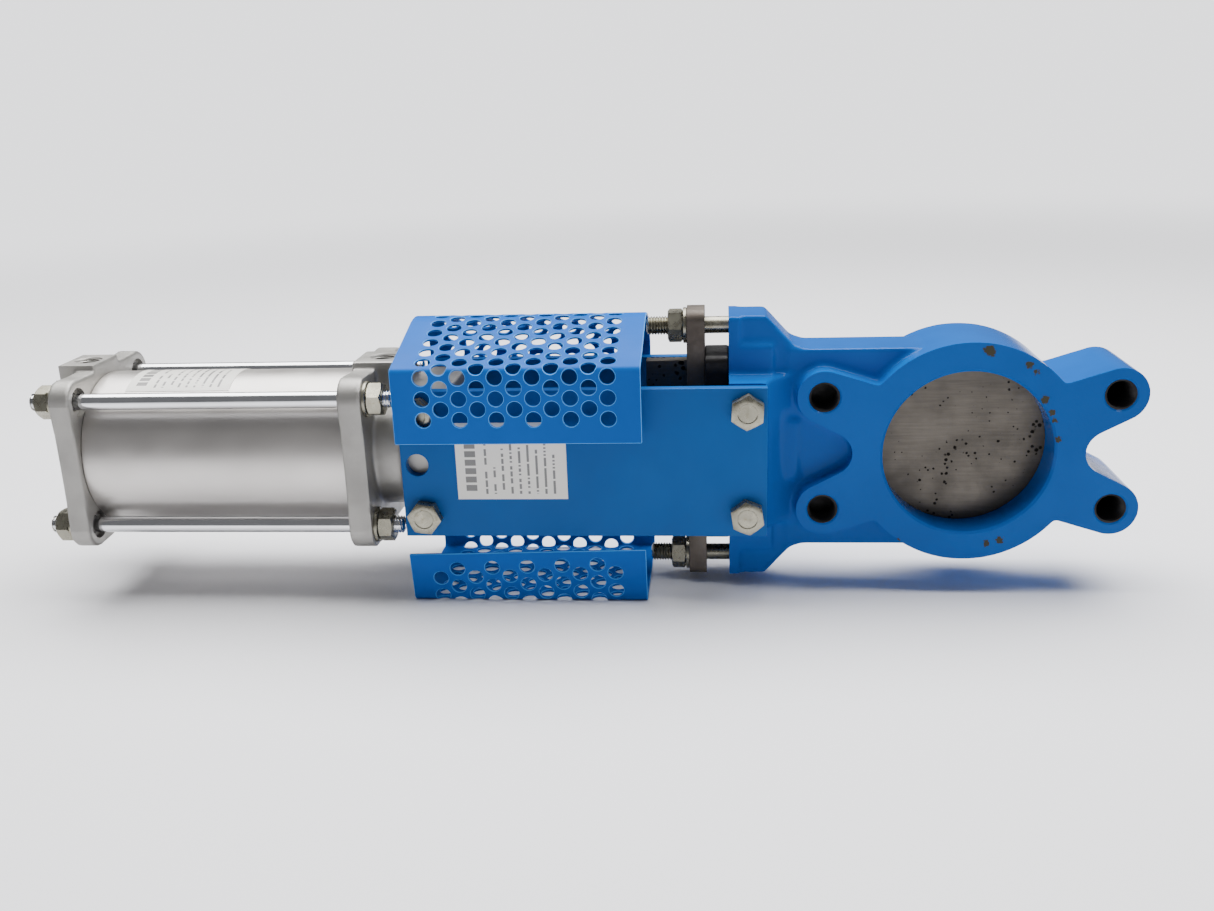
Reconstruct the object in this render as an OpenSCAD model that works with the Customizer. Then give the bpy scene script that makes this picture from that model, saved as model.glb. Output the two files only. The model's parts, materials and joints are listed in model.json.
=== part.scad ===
// Pneumatic knife gate valve for an 80 mm pipe, lying on its lower guard.
// X runs along the stem towards the port, Y runs along the pipe and Z is up.
// The origin is the centre of the port. Sizes are in millimetres.

/* [Valve body] */
// Diameter of the port opening
port_d = 87; // [85:0.5:88]
// Outside diameter of the port ring
ring_d = 117.4; // [116:0.2:119]
// Length of the body along the pipe
face_to_face = 50; // [48:0.5:52]
// Pitch circle of the four pipe bolts
lug_pcd = 160; // [158:0.5:162]
// Tapping diameter of the pipe bolt holes
lug_hole_d = 14; // [13.5:0.1:14.5]
// Depth of the blind pipe bolt holes beside the neck
lug_blind = 16; // [15:0.5:17]
// Width of a lug at its tip
lug_w = 28; // [27:0.5:30]
// Height of the neck between ring and gland flange
neck_h = 108.4; // [107:0.2:110]
// Thickness of the neck along the pipe
neck_t = 30; // [29:0.5:32]
// Height of the gland flange of the body
box_h = 144; // [142:0.5:146]

/* [Gate] */
// Width of the gate blade
gate_w = 93; // [92:0.2:93.4]
// Thickness of the gate blade
gate_t = 8; // [7.6:0.1:8.4]
// Travel of the gate from closed to open
stroke = 88; // [84:0.5:89]

/* [Gland] */
// Distance between the two gland studs
stud_span = 129.4; // [128:0.2:130]
// Height of the gland flange bar
bar_h = 148.6; // [147:0.2:150]

/* [Yoke] */
// Height of a yoke plate
plate_h = 80; // [78:0.5:82]
// Thickness of a yoke plate
plate_t = 6; // [5:0.5:6]
// Distance between the outer faces of the yoke plates
yoke_w = 80; // [80:0.1:80.4]
// Distance between the bolts across a yoke plate
plate_bolt_span = 56.6; // [55:0.2:58]

/* [Guards] */
// Length of a guard along the stem
guard_l = 128; // [126:0.5:129]
// Thickness of the guard sheet
guard_t = 1.5; // [1.2:0.1:1.8]
// Diameter of the perforations
perf_d = 8; // [7:0.2:8.4]
// Pitch of the perforations
perf_pitch = 11; // [10.8:0.1:11.4]

/* [Cylinder] */
// Outside diameter of the barrel
barrel_d = 85; // [84.6:0.1:85.4]
// Bore of the barrel
barrel_bore = 80; // [79.8:0.1:80.2]
// Side of the square end heads
head_w = 94; // [92:0.5:96]
// Distance between neighbouring tie rods
tie_span = 70; // [69:0.5:71]
// Diameter of the tie rods
tie_d = 8.9; // [8:0.1:9.4]
// Diameter of the piston rod
rod_d = 20; // [19:0.5:20.5]

/* [Hidden] */
$fn = 72;
eps = 0.05;
gap = 0.1;

// Stations along the stem
box_x0 = -123;
box_x1 = -104;
box_slope_x = -90;
neck_x0 = -86;
packing_x1 = -95;
packing_x0 = -119;
bar_x0 = -145;
bar_x1 = -135.5;
plate_x0 = -295.7;
plate_x1 = -103.6;
body_bolt_x = -113.8;
head_bolt_x = -284.2;
block_x0 = -297;
block_x1 = -272;
front_x0 = -325.2;
front_x1 = -312.8;
rear_x0 = -481.6;
rear_x1 = -470.4;
guard_x0 = -295;
clevis_x0 = -182;
clevis_x1 = -150;
pin_x = -158.5;
piston_x0 = -367.6;
piston_x1 = -339.6;

// Valve body
ring_r = ring_d / 2;
port_r = port_d / 2;
half_ftf = face_to_face / 2;
lug_angle = 22.5;
lug_root_w = 34;
lug_root_r = 46;
mouth_depth = 1.2;
slot_y = gate_t / 2 + 0.6;
cavity_r = gate_w / 2 + 1;
box_y = 14;
box_mid_h = 114;
box_mid_y = 18;
pad_h = 82;
pad_y = yoke_w / 2 - plate_t;
pad_slope = pad_y - neck_t / 2;
pad_bolt_depth = 18;
pocket_y = 12;
pocket_h = 102;
pocket_r = 4;
cast_r = 5;
mark_x0 = -96;
mark_x1 = -86.5;
mark_h = 32;
mark_t = 1.5;

// Seat on the downstream side of the gate
seat_ri = 41;
seat_ro = 48;
seat_y1 = 10;
keep_ri = 40;
keep_ro = 46;

// Gland
packing_l = 7.7;
packing_step = 8;
gland_slot_y = gate_t / 2 + 0.3;
gland_slot_h = gate_w + 1;
bush_y = 16;
bar_y = 12;
bar_hole_d = 11;
bar_corner = 6;
stud_d = 9;
thread_d = 10;
stud_x0 = guard_x0 + guard_l + 0.5;
stud_x1 = -106;
stud_thread_x = -146;

// Hexagon fasteners, across flats
m10_af = 16;
m10_head = 6.4;
m10_nut = 8;
m10_washer_r = 9.5;
washer_t = 2;
m16_af = 24;
m14_af = 22;
bolt_l = 17;
bolt_hole_d = thread_d + 0.2;
plate_hole_d = 11;
inspection_d = 12;
inspection_x = -287;

// Guards: the bent sheet's middle line, as [y, z], from the free edge in front to the back
guard_mid_y = yoke_w / 2 + guard_t / 2;
upper_line = [[-50, 14.5], [-50, 53.4], [24, 71.6], [guard_mid_y, 48], [guard_mid_y, 16]];
lower_line = [[-41.6, -46.8], [-36.5, -78], [guard_mid_y, -78], [guard_mid_y, -16]];
perf_cols = 11;
perf_margin = 16;
perf_edge = perf_d / 2 + 1;
perf_rows = 16;
upper_first = 13;
lower_first = 10.6;
bolt_clear = 15;

// Gate and clevis
gate_x0 = -167;
clevis_y = 15;
clevis_z = 20;
clevis_slot_x = -168;
pin_r = 5;
pin_head_r = 7.5;
pin_head_t = 2.5;
pin_end_y = 18;
circlip_y = clevis_y + 0.2;
circlip_t = 1.2;
circlip_ri = 4.3;
circlip_ro = 8;
lock_nut_l = 8;

// Cylinder
head_r = 12;
head_sag = 1.5;
head_bow_r = 420;
spigot_l = 11.4;
spigot_r = barrel_bore / 2 - 0.1;
oring_r = 1.45;
oring_mid_r = 38.4;
oring_groove_w = 3.4;
tie_hole_r = tie_d / 2 + 0.35;
tie_seat_r = 7.6;
tie_seat_l = 3;
tie_end = 5.5;
port_block_y = 14;
port_block_top = 50;
port_block_foot = 28;
rear_block_x0 = -491;
front_block_x1 = -296;
port_thread_d = 13;
port_depth = 15;
air_way_d = 6;
air_way_z = 33;
rear_port_x = -480.5;
front_port_x = -311;
hub_r = 33;
block_y = pad_y;
block_z = 36;
nut_pocket_r = 17;
nut_pocket_l = 12;
rod_bore_r = 13;
rod_r = rod_d / 2;
rod_fit = 0.05;
bush_l = 22;
seal_l = 8;
wiper_l = 5;
rod_tail_r = 7;
rod_nose_r = 8;
rod_step_x = -345;
rod_tail_x = -379.5;
rod_nose_x = -169;
piston_r = 39.7;
piston_nut_l = 11;
nut_recess_r = 16;
nut_recess_l = 10.5;
seal_groove_r = 35;
seal_groove_w = 5;
seal_inset = 3.5;
wear_groove_r = 38;
wear_groove_w = 8;

// Labels
label_t = 0.3;
label_x0 = -266;
label_w = 58.5;
label_z0 = -19;
label_h = 42;
cyl_label_x0 = -451;
cyl_label_front = 30;
cyl_label_arc = 56;

// Colours
blue = [0.05, 0.36, 0.75];
plate_blue = [0.07, 0.33, 0.65];
steel = [0.72, 0.71, 0.68];
zinc = [0.80, 0.79, 0.72];
cast_grey = [0.60, 0.59, 0.56];
dark = [0.12, 0.12, 0.13];
paper = [0.93, 0.92, 0.88];

// Placing helpers

// Extrudes an outline drawn in X and Z from y0 to y1
module along_y(y0, y1) {
    translate([0, y1, 0])
        rotate([90, 0, 0])
            linear_extrude(y1 - y0) children();
}

// Extrudes an outline drawn in Y and Z from x0 to x1
module along_x(x0, x1) {
    translate([x0, 0, 0])
        rotate([90, 0, 90])
            linear_extrude(x1 - x0) children();
}

module both_sides() {
    children();
    mirror([0, 1, 0]) children();
}

module round_rect(w, h, r) {
    square([w - 2 * r, h], center = true);
    square([w, h - 2 * r], center = true);
    for (x = [-1, 1], y = [-1, 1])
        translate([x * (w / 2 - r), y * (h / 2 - r)]) circle(r);
}

// Round bar along X
module rod_x(r, x0, x1) {
    along_x(x0, x1) circle(r);
}

// Round bar along Y
module rod_y(r, y0, y1) {
    along_y(y0, y1) circle(r);
}

module ring_x(ri, ro, x0, x1) {
    along_x(x0, x1) difference() {
        circle(ro);
        circle(ri);
    }
}

// Hexagon prism along X, flats up and down
module hex_x(af, x0, x1) {
    translate([x0, 0, 0])
        rotate([0, 90, 0])
            cylinder(d = af / cos(30), h = x1 - x0, $fn = 6);
}

// Hexagon bolt along Y, its head's seat at y and its tip towards the middle
module hex_bolt(y) {
    translate([0, y, 0]) {
        rotate([90, 0, 0]) cylinder(d = m10_af / cos(30), h = m10_head, $fn = 6);
        rod_y(thread_d / 2, -eps, bolt_l);
    }
}

// Valve body

// One lug, pointing along +X before it is turned to its place
module lug_outline() {
    polygon([
        [lug_root_r, -lug_root_w / 2],
        [lug_pcd / 2, -lug_w / 2],
        [lug_pcd / 2, lug_w / 2],
        [lug_root_r, lug_root_w / 2]
    ]);
    translate([lug_pcd / 2, 0]) circle(lug_w / 2);
}

module at_lugs(sides = [0, 180]) {
    for (side = sides, tilt = [-1, 1])
        rotate(side + tilt * lug_angle) children();
}

// Through the lugs beyond the port, blind beside the neck where the gate runs
module lug_holes() {
    along_y(-half_ftf - 1, half_ftf + 1)
        at_lugs([0]) translate([lug_pcd / 2, 0]) circle(d = lug_hole_d);
    both_sides() along_y(-half_ftf - 1, lug_blind - half_ftf)
        at_lugs([180]) translate([lug_pcd / 2, 0]) circle(d = lug_hole_d);
}

module body_outer() {
    rod_y(ring_r, -half_ftf, half_ftf);
    along_y(-half_ftf, half_ftf) at_lugs() lug_outline();
    along_x(neck_x0, 0) round_rect(neck_t, neck_h, cast_r);
    along_y(-box_y, box_y) polygon([
        [box_x0, box_h / 2],
        [box_x1, box_h / 2],
        [box_slope_x, neck_h / 2 + 2.5],
        [neck_x0 + 3, neck_h / 2],
        [neck_x0 + 3, -neck_h / 2],
        [box_slope_x, -neck_h / 2 - 2.5],
        [box_x1, -box_h / 2],
        [box_x0, -box_h / 2]
    ]);
    along_x(box_x0, box_x1) round_rect(2 * box_mid_y, box_mid_h, cast_r);
    along_x(box_x0, plate_x1) square([2 * pad_y, pad_h], center = true);
    both_sides() pad_fillet();
    both_sides() along_y(-neck_t / 2 - mark_t, 0)
        translate([mark_x0, -mark_h / 2]) square([mark_x1 - mark_x0, mark_h]);
}

// Hollow sweep from a yoke pad down to the neck
module pad_fillet() {
    translate([plate_x1, neck_t / 2, -pad_h / 2]) difference() {
        cube([pad_slope, pad_slope, pad_h]);
        translate([pad_slope, pad_slope, -1]) cylinder(r = pad_slope, h = pad_h + 2);
    }
}

module body_hollow() {
    rod_y(port_r, -half_ftf - 1, 0);
    translate([0, -half_ftf - eps, 0])
        rotate([-90, 0, 0]) cylinder(r1 = port_r + mouth_depth, r2 = port_r, h = mouth_depth);
    rod_y(keep_ro, 0, half_ftf + 1);
    rod_y(seat_ro, 0, seat_y1);
    rod_y(cavity_r, -slot_y, slot_y);
    along_x(packing_x1 - 1, 0) square([2 * slot_y, 2 * cavity_r], center = true);
    along_x(box_x0 - 1, packing_x1) round_rect(2 * pocket_y, pocket_h, pocket_r);
    lug_holes();
    both_sides() for (z = [-1, 1])
        translate([body_bolt_x, 0, z * plate_bolt_span / 2])
            rod_y(bolt_hole_d / 2, pad_y - pad_bolt_depth, pad_y + 1);
    for (z = [-1, 1])
        translate([0, 0, z * stud_span / 2]) rod_x(bolt_hole_d / 2, box_x0 - 1, box_x1 + 1);
}

module valve_body() {
    color(blue) difference() {
        body_outer();
        body_hollow();
    }
}

module seat_seal() {
    color(dark) along_y(gate_t / 2 + eps, seat_y1 - eps) difference() {
        circle(seat_ro - eps);
        circle(seat_ri);
    }
}

module seat_retainer() {
    color(steel) along_y(seat_y1 + eps, half_ftf - 0.2) difference() {
        circle(keep_ro - eps);
        circle(keep_ri);
    }
}

// Gate, packing and gland

module gate_blade() {
    color(steel) along_y(-gate_t / 2, gate_t / 2) difference() {
        union() {
            translate([gate_x0, -gate_w / 2]) square([-gate_x0, gate_w]);
            circle(gate_w / 2);
        }
        translate([pin_x, 0]) circle(pin_r + rod_fit);
    }
}

module packing_ring(place) {
    x0 = packing_x0 + 0.2 + place * packing_step;
    color(dark) along_x(x0, x0 + packing_l) difference() {
        round_rect(2 * pocket_y - gap, pocket_h - gap, pocket_r);
        square([gate_t + gap, gate_w + gap], center = true);
    }
}

module packing_ring_outer() packing_ring(0);
module packing_ring_middle() packing_ring(1);
module packing_ring_inner() packing_ring(2);

module gland_bush() {
    color(dark) difference() {
        union() {
            along_x(bar_x1, box_x0 - gap) round_rect(2 * bush_y, pocket_h, pocket_r);
            along_x(bar_x1, packing_x0 + gap)
                round_rect(2 * pocket_y - 0.4, pocket_h - 0.4, pocket_r);
        }
        along_x(bar_x0, packing_x1) square([2 * gland_slot_y, gland_slot_h], center = true);
    }
}

module gland_flange() {
    color(cast_grey) along_x(bar_x0, bar_x1) difference() {
        round_rect(2 * bar_y, bar_h, bar_corner);
        square([2 * gland_slot_y, gland_slot_h], center = true);
        for (z = [-1, 1]) translate([0, z * stud_span / 2]) circle(d = bar_hole_d);
    }
}

module at_studs() {
    for (z = [-1, 1]) translate([0, 0, z * stud_span / 2]) children();
}

module gland_studs() {
    color(zinc) at_studs() {
        rod_x(thread_d / 2, stud_x0, stud_thread_x);
        rod_x(stud_d / 2, stud_thread_x - eps, box_x0 + 1);
        rod_x(thread_d / 2, box_x0 + 1 - eps, stud_x1);
    }
}

module gland_washers() {
    color(zinc) at_studs() ring_x(bolt_hole_d / 2, m10_washer_r, bar_x0 - washer_t, bar_x0 - eps);
}

module gland_nuts() {
    x1 = bar_x0 - washer_t - eps;
    color(zinc) at_studs() difference() {
        hex_x(m10_af, x1 - m10_nut, x1);
        rod_x(bolt_hole_d / 2, x1 - m10_nut - 1, x1 + 1);
    }
}

// Yoke

module yoke_plate() {
    color(plate_blue) along_y(-yoke_w / 2, -pad_y) difference() {
        translate([plate_x0, -plate_h / 2]) square([plate_x1 - plate_x0, plate_h]);
        for (x = [body_bolt_x, head_bolt_x], z = [-1, 1])
            translate([x, z * plate_bolt_span / 2]) circle(d = plate_hole_d);
        translate([inspection_x, 0]) circle(d = inspection_d);
    }
}

module yoke_plate_front() yoke_plate();
module yoke_plate_back() mirror([0, 1, 0]) yoke_plate();

module yoke_body_bolts() {
    color(zinc) both_sides() for (z = [-1, 1])
        translate([body_bolt_x, 0, z * plate_bolt_span / 2]) hex_bolt(-yoke_w / 2);
}

// The back pair clamps the guards under its heads
module yoke_head_bolts() {
    color(zinc) for (z = [-1, 1])
        translate([head_bolt_x, 0, z * plate_bolt_span / 2]) {
            hex_bolt(-yoke_w / 2);
            mirror([0, 1, 0]) hex_bolt(-yoke_w / 2 - guard_t - eps);
        }
}

// Guards

function unit(v) = v / norm(v);
function across(v) = [-v[1], v[0]];

// Direction from a corner of the line to the sheet's left side, long enough to keep its thickness
function miter(line, i) =
    let (before = unit(line[max(i, 1)] - line[max(i, 1) - 1]))
    let (after = unit(line[min(i, len(line) - 2) + 1] - line[min(i, len(line) - 2)]))
    let (m = unit(across(before) + across(after)))
    m / (m * across(before));

function sheet_outline(line) = concat(
    [for (i = [0 : len(line) - 1]) line[i] + miter(line, i) * guard_t / 2],
    [for (i = [len(line) - 1 : -1 : 0]) line[i] - miter(line, i) * guard_t / 2]
);

// Holes through one flat of the bent sheet, from corner a to corner b. The rows are counted along the
// unbent sheet, of which the length done lies before this flat, and no hole crosses a fold.
module flat_holes(a, b, done, first, phase) {
    flat = norm(b - a);
    turn = atan2(b[1] - a[1], b[0] - a[0]);
    for (col = [0 : perf_cols - 1], row = [0 : perf_rows - 1]) {
        s = first + ((col + phase) % 2 + 2 * row) * perf_pitch / 2 - done;
        x = guard_x0 + perf_margin + col * perf_pitch * cos(30);
        yz = a + unit(b - a) * s;
        bolt = norm([x - head_bolt_x, abs(yz[1]) - plate_bolt_span / 2]);
        if (s > perf_edge && s < flat - perf_edge && (bolt > bolt_clear || yz[0] < 0))
            translate([x, yz[0], yz[1]])
                rotate([turn, 0, 0])
                    cylinder(d = perf_d, h = 4 * guard_t, center = true, $fn = 24);
    }
}

// Length of the unbent sheet before corner i
function sheet_before(line, i) = i == 0 ? 0 : sheet_before(line, i - 1) + norm(line[i] - line[i - 1]);

module guard(line, first, phase) {
    side = sign(line[0][1]);
    color(plate_blue) difference() {
        along_x(guard_x0, guard_x0 + guard_l) polygon(sheet_outline(line));
        for (i = [0 : len(line) - 2])
            flat_holes(line[i], line[i + 1], sheet_before(line, i), first, phase);
        translate([head_bolt_x, 0, side * plate_bolt_span / 2])
            rod_y(plate_hole_d / 2, yoke_w / 2 - 1, yoke_w / 2 + guard_t + 1);
    }
}

module guard_upper() guard(upper_line, upper_first, 0);
module guard_lower() guard(lower_line, lower_first, 1);

// Stem: clevis, rod and piston

module gate_clevis() {
    color(steel) difference() {
        along_x(clevis_x0, clevis_x1) round_rect(2 * clevis_y, 2 * clevis_z, pocket_r);
        along_x(clevis_slot_x, clevis_x1 + 1)
            square([gate_t + 2 * gap, 2 * clevis_z + 2], center = true);
        rod_x(rod_nose_r + rod_fit, clevis_x0 - 1, clevis_slot_x + 1);
        translate([pin_x, 0, 0]) rod_y(pin_r + rod_fit, -clevis_y - 1, clevis_y + 1);
    }
}

module clevis_pin() {
    color(zinc) translate([pin_x, 0, 0]) difference() {
        union() {
            rod_y(pin_r, -clevis_y - eps, pin_end_y);
            rod_y(pin_head_r, -clevis_y - pin_head_t, -clevis_y - eps);
        }
        along_y(circlip_y - eps, circlip_y + circlip_t + eps) difference() {
            circle(pin_head_r);
            circle(circlip_ri - eps);
        }
    }
}

module clevis_circlip() {
    color(dark) translate([pin_x, 0, 0]) along_y(circlip_y, circlip_y + circlip_t) difference() {
        circle(circlip_ro);
        circle(circlip_ri);
        translate([0, -circlip_ro]) square([2 * circlip_ri - 2, 2 * circlip_ro], center = true);
    }
}

module rod_lock_nut() {
    x1 = clevis_x0 - eps;
    color(zinc) difference() {
        hex_x(m16_af, x1 - lock_nut_l, x1);
        rod_x(rod_nose_r + rod_fit, x1 - lock_nut_l - 1, x1 + 1);
    }
}

module piston_rod() {
    color(steel) {
        rod_x(rod_tail_r, rod_tail_x, rod_step_x + eps);
        rod_x(rod_r, rod_step_x, clevis_x0 - lock_nut_l - gap);
        rod_x(rod_nose_r, clevis_x0 - lock_nut_l - gap - eps, rod_nose_x);
    }
}

module piston() {
    mid = (piston_x0 + piston_x1) / 2;
    color(cast_grey) difference() {
        rod_x(piston_r, piston_x0, piston_x1);
        rod_x(rod_tail_r + rod_fit, piston_x0 - 1, piston_x1 + 1);
        rod_x(rod_r + rod_fit, rod_step_x, piston_x1 + 1);
        for (x = [piston_x0 + seal_inset, piston_x1 - seal_inset - seal_groove_w])
            ring_x(seal_groove_r, piston_r + 1, x, x + seal_groove_w);
        ring_x(wear_groove_r, piston_r + 1, mid - wear_groove_w / 2, mid + wear_groove_w / 2);
    }
}

module piston_seals() {
    for (x = [piston_x0 + seal_inset, piston_x1 - seal_inset - seal_groove_w])
        color(dark) ring_x(
            seal_groove_r + eps, barrel_bore / 2 - eps, x + gap, x + seal_groove_w - gap
        );
}

module piston_wear_ring() {
    mid = (piston_x0 + piston_x1) / 2;
    color(paper) ring_x(
        wear_groove_r + eps, barrel_bore / 2 - gap,
        mid - wear_groove_w / 2 + gap, mid + wear_groove_w / 2 - gap
    );
}

module piston_nut() {
    x1 = piston_x0 - eps;
    color(zinc) difference() {
        hex_x(m14_af, x1 - piston_nut_l, x1);
        rod_x(rod_tail_r + rod_fit, x1 - piston_nut_l - 1, x1 + 1);
    }
}

// Cylinder

module cylinder_barrel() {
    color(cast_grey) ring_x(barrel_bore / 2, barrel_d / 2, rear_x1 + eps, front_x0 - eps);
}

module head_outline() {
    difference() {
        round_rect(head_w, head_w, head_r);
        for (a = [0 : 90 : 270])
            rotate(a) translate([head_w / 2 - head_sag + head_bow_r, 0]) circle(head_bow_r, $fn = 360);
    }
}

module at_tie_rods() {
    for (y = [-1, 1], z = [-1, 1])
        translate([0, y * tie_span / 2, z * tie_span / 2]) children();
}

module spigot(x0, x1, groove_x) {
    difference() {
        rod_x(spigot_r, x0, x1);
        ring_x(
            oring_mid_r - oring_r - eps, spigot_r + 1,
            groove_x - oring_groove_w / 2, groove_x + oring_groove_w / 2
        );
    }
}

// Screwed air port in the top of a port block
module air_port(x) {
    translate([x, 0, port_block_top - port_depth])
        cylinder(d = port_thread_d, h = port_depth + 1);
}

module port_block(x0, x1) {
    translate([x0, -port_block_y, port_block_foot])
        cube([x1 - x0, 2 * port_block_y, port_block_top - port_block_foot]);
}

module blind_end_head() {
    color(cast_grey) difference() {
        union() {
            along_x(rear_x0, rear_x1) head_outline();
            port_block(rear_block_x0, rear_x1);
            spigot(rear_x1 - eps, rear_x1 + spigot_l, rear_x1 + spigot_l / 2);
        }
        at_tie_rods() rod_x(tie_hole_r, rear_x0 - 1, rear_x1 + 1);
        at_tie_rods() rod_x(tie_seat_r, rear_x1 - tie_seat_l, rear_x1 + 1);
        rod_x(nut_recess_r, rear_x1 + spigot_l - nut_recess_l, rear_x1 + spigot_l + 1);
        air_port(rear_port_x);
        translate([0, 0, air_way_z]) rod_x(air_way_d / 2, rear_port_x, rear_x1 + spigot_l + 1);
    }
}

module rod_end_head() {
    bush_x1 = front_x0 - spigot_l + bush_l;
    color(cast_grey) difference() {
        union() {
            along_x(front_x0, front_x1) head_outline();
            port_block(front_x0, front_block_x1);
            spigot(front_x0 - spigot_l, front_x0 + eps, front_x0 - spigot_l / 2);
            rod_x(hub_r, front_x1 - eps, block_x0 + eps);
            along_x(block_x0, block_x1) square([2 * block_y, 2 * block_z], center = true);
        }
        at_tie_rods() rod_x(tie_hole_r, front_x0 - 1, front_x1 + 1);
        at_tie_rods() rod_x(tie_seat_r, front_x0 - 1, front_x0 + tie_seat_l);
        rod_x(rod_r + 1, front_x0 - spigot_l - 1, block_x1 + 1);
        rod_x(rod_bore_r, front_x0 - spigot_l - 1, bush_x1 + seal_l + wiper_l);
        rod_x(nut_pocket_r, block_x1 - nut_pocket_l, block_x1 + 1);
        both_sides() for (z = [-1, 1])
            translate([head_bolt_x, 0, z * plate_bolt_span / 2])
                rod_y(bolt_hole_d / 2, block_y - pad_bolt_depth, block_y + 1);
        air_port(front_port_x);
        translate([0, 0, air_way_z]) rod_x(air_way_d / 2, front_x0 - spigot_l - 1, front_port_x);
    }
}

module barrel_orings() {
    color(dark) for (x = [rear_x1 + spigot_l / 2, front_x0 - spigot_l / 2])
        translate([x, 0, 0])
            rotate([0, 90, 0])
                rotate_extrude() translate([oring_mid_r, 0]) circle(oring_r, $fn = 24);
}

module rod_bush() {
    x0 = front_x0 - spigot_l;
    color([0.72, 0.55, 0.25]) ring_x(rod_r + rod_fit, rod_bore_r - rod_fit, x0, x0 + bush_l);
}

module rod_seal() {
    x0 = front_x0 - spigot_l + bush_l + gap;
    color(dark) ring_x(rod_r + rod_fit, rod_bore_r - rod_fit, x0, x0 + seal_l - gap);
}

module rod_wiper() {
    x0 = front_x0 - spigot_l + bush_l + seal_l + gap;
    color(dark) ring_x(rod_r + rod_fit, rod_bore_r - rod_fit, x0, x0 + wiper_l - 2 * gap);
}

module tie_rods() {
    color(steel) at_tie_rods() {
        rod_x(tie_d / 2, rear_x0 + eps, front_x1 - eps);
        rod_x(tie_d / 2, rear_x0 - washer_t - m10_nut - tie_end, rear_x0 + 2 * eps);
        rod_x(tie_d / 2, front_x1 - 2 * eps, front_x1 + washer_t + m10_nut + tie_end);
    }
}

module tie_rod_washers() {
    color(zinc) at_tie_rods() {
        ring_x(tie_hole_r, m10_washer_r, rear_x0 - washer_t, rear_x0 - eps);
        ring_x(tie_hole_r, m10_washer_r, front_x1 + eps, front_x1 + washer_t);
    }
}

module tie_rod_nuts() {
    for (x = [rear_x0 - washer_t - eps - m10_nut, front_x1 + washer_t + eps])
        color(zinc) at_tie_rods() difference() {
            hex_x(m10_af, x, x + m10_nut);
            rod_x(tie_d / 2 + rod_fit, x - 1, x + m10_nut + 1);
        }
}

// Labels

module data_label() {
    color(paper) translate([label_x0, -yoke_w / 2 - label_t, label_z0])
        cube([label_w, label_t - 0.02, label_h]);
}

module cylinder_label() {
    color(paper) translate([cyl_label_x0, 0, 0])
        rotate([0, 90, 0])
            rotate([0, 0, 180 - cyl_label_arc + cyl_label_front])
                rotate_extrude(angle = cyl_label_arc)
                    translate([barrel_d / 2 + 0.02, 0]) square([label_t, label_w]);
}

valve_body();
seat_seal();
seat_retainer();
gate_blade();
packing_ring_inner();
packing_ring_middle();
packing_ring_outer();
gland_bush();
gland_flange();
gland_studs();
gland_washers();
gland_nuts();
yoke_plate_front();
yoke_plate_back();
yoke_body_bolts();
yoke_head_bolts();
guard_upper();
guard_lower();
gate_clevis();
clevis_pin();
clevis_circlip();
rod_lock_nut();
piston_rod();
piston();
piston_seals();
piston_wear_ring();
piston_nut();
cylinder_barrel();
barrel_orings();
rod_end_head();
blind_end_head();
rod_bush();
rod_seal();
rod_wiper();
tie_rods();
tie_rod_washers();
tie_rod_nuts();
data_label();
cylinder_label();
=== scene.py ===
"""Looks of a pneumatic knife gate valve, modelled round its fixed CAD frame."""

import json
from math import atan2, ceil, cos, hypot, pi, radians, sin, tan

import bmesh
import bpy
from mathutils import Matrix, Vector


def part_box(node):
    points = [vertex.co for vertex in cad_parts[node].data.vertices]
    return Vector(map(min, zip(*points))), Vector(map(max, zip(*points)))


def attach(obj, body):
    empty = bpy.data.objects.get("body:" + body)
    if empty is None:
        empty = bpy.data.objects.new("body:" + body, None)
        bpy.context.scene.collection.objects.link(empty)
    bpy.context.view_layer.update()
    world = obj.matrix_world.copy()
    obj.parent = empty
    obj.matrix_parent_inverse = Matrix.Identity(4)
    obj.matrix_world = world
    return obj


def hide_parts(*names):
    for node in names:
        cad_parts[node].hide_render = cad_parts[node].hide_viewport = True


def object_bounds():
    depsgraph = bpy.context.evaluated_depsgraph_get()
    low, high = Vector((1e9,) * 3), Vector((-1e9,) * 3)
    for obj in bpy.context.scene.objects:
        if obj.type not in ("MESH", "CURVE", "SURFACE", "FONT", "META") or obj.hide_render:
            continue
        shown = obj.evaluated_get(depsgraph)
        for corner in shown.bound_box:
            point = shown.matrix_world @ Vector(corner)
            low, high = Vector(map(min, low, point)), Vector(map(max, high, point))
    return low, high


bl_info = {
    "name": "Knife gate valve",
    "version": (1, 0, 0),
    "blender": (4, 5, 0),
    "location": "View3D > Sidebar > Valve",
    "description": "Models a lug knife gate valve with a pneumatic cylinder piece by piece",
    "category": "Object",
}

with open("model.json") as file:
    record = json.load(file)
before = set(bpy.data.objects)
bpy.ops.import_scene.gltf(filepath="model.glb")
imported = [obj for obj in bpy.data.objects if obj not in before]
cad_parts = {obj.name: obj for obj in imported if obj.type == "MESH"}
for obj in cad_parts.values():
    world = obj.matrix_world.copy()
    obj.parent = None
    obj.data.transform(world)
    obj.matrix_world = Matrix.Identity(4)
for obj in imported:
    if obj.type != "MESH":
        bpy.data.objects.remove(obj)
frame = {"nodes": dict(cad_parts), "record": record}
CAD_BOX = [list(corner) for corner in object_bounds()]

MM = 0.001
FIXED = "valve_frame"
MOVING = "gate_stem"
FULL_TURN = 2 * pi
TOUCH = 1e-4       # millimetres within which two points are one
SOLID_CORE = 2.5   # a hexagon whose first ring is smaller than this is solid
ALONG_X = Matrix(((0, 0, 1), (1, 0, 0), (0, 1, 0))).to_4x4()   # local x, y, z become Y, Z, X
ALONG_Y = Matrix(((1, 0, 0), (0, 0, -1), (0, 1, 0))).to_4x4()  # local x, y, z become X, Z, -Y


# Settings that a user may change

def length(name, description, millimetres):
    return bpy.props.FloatProperty(
        name=name, description=description, default=millimetres * MM, unit="LENGTH", precision=5
    )


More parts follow.
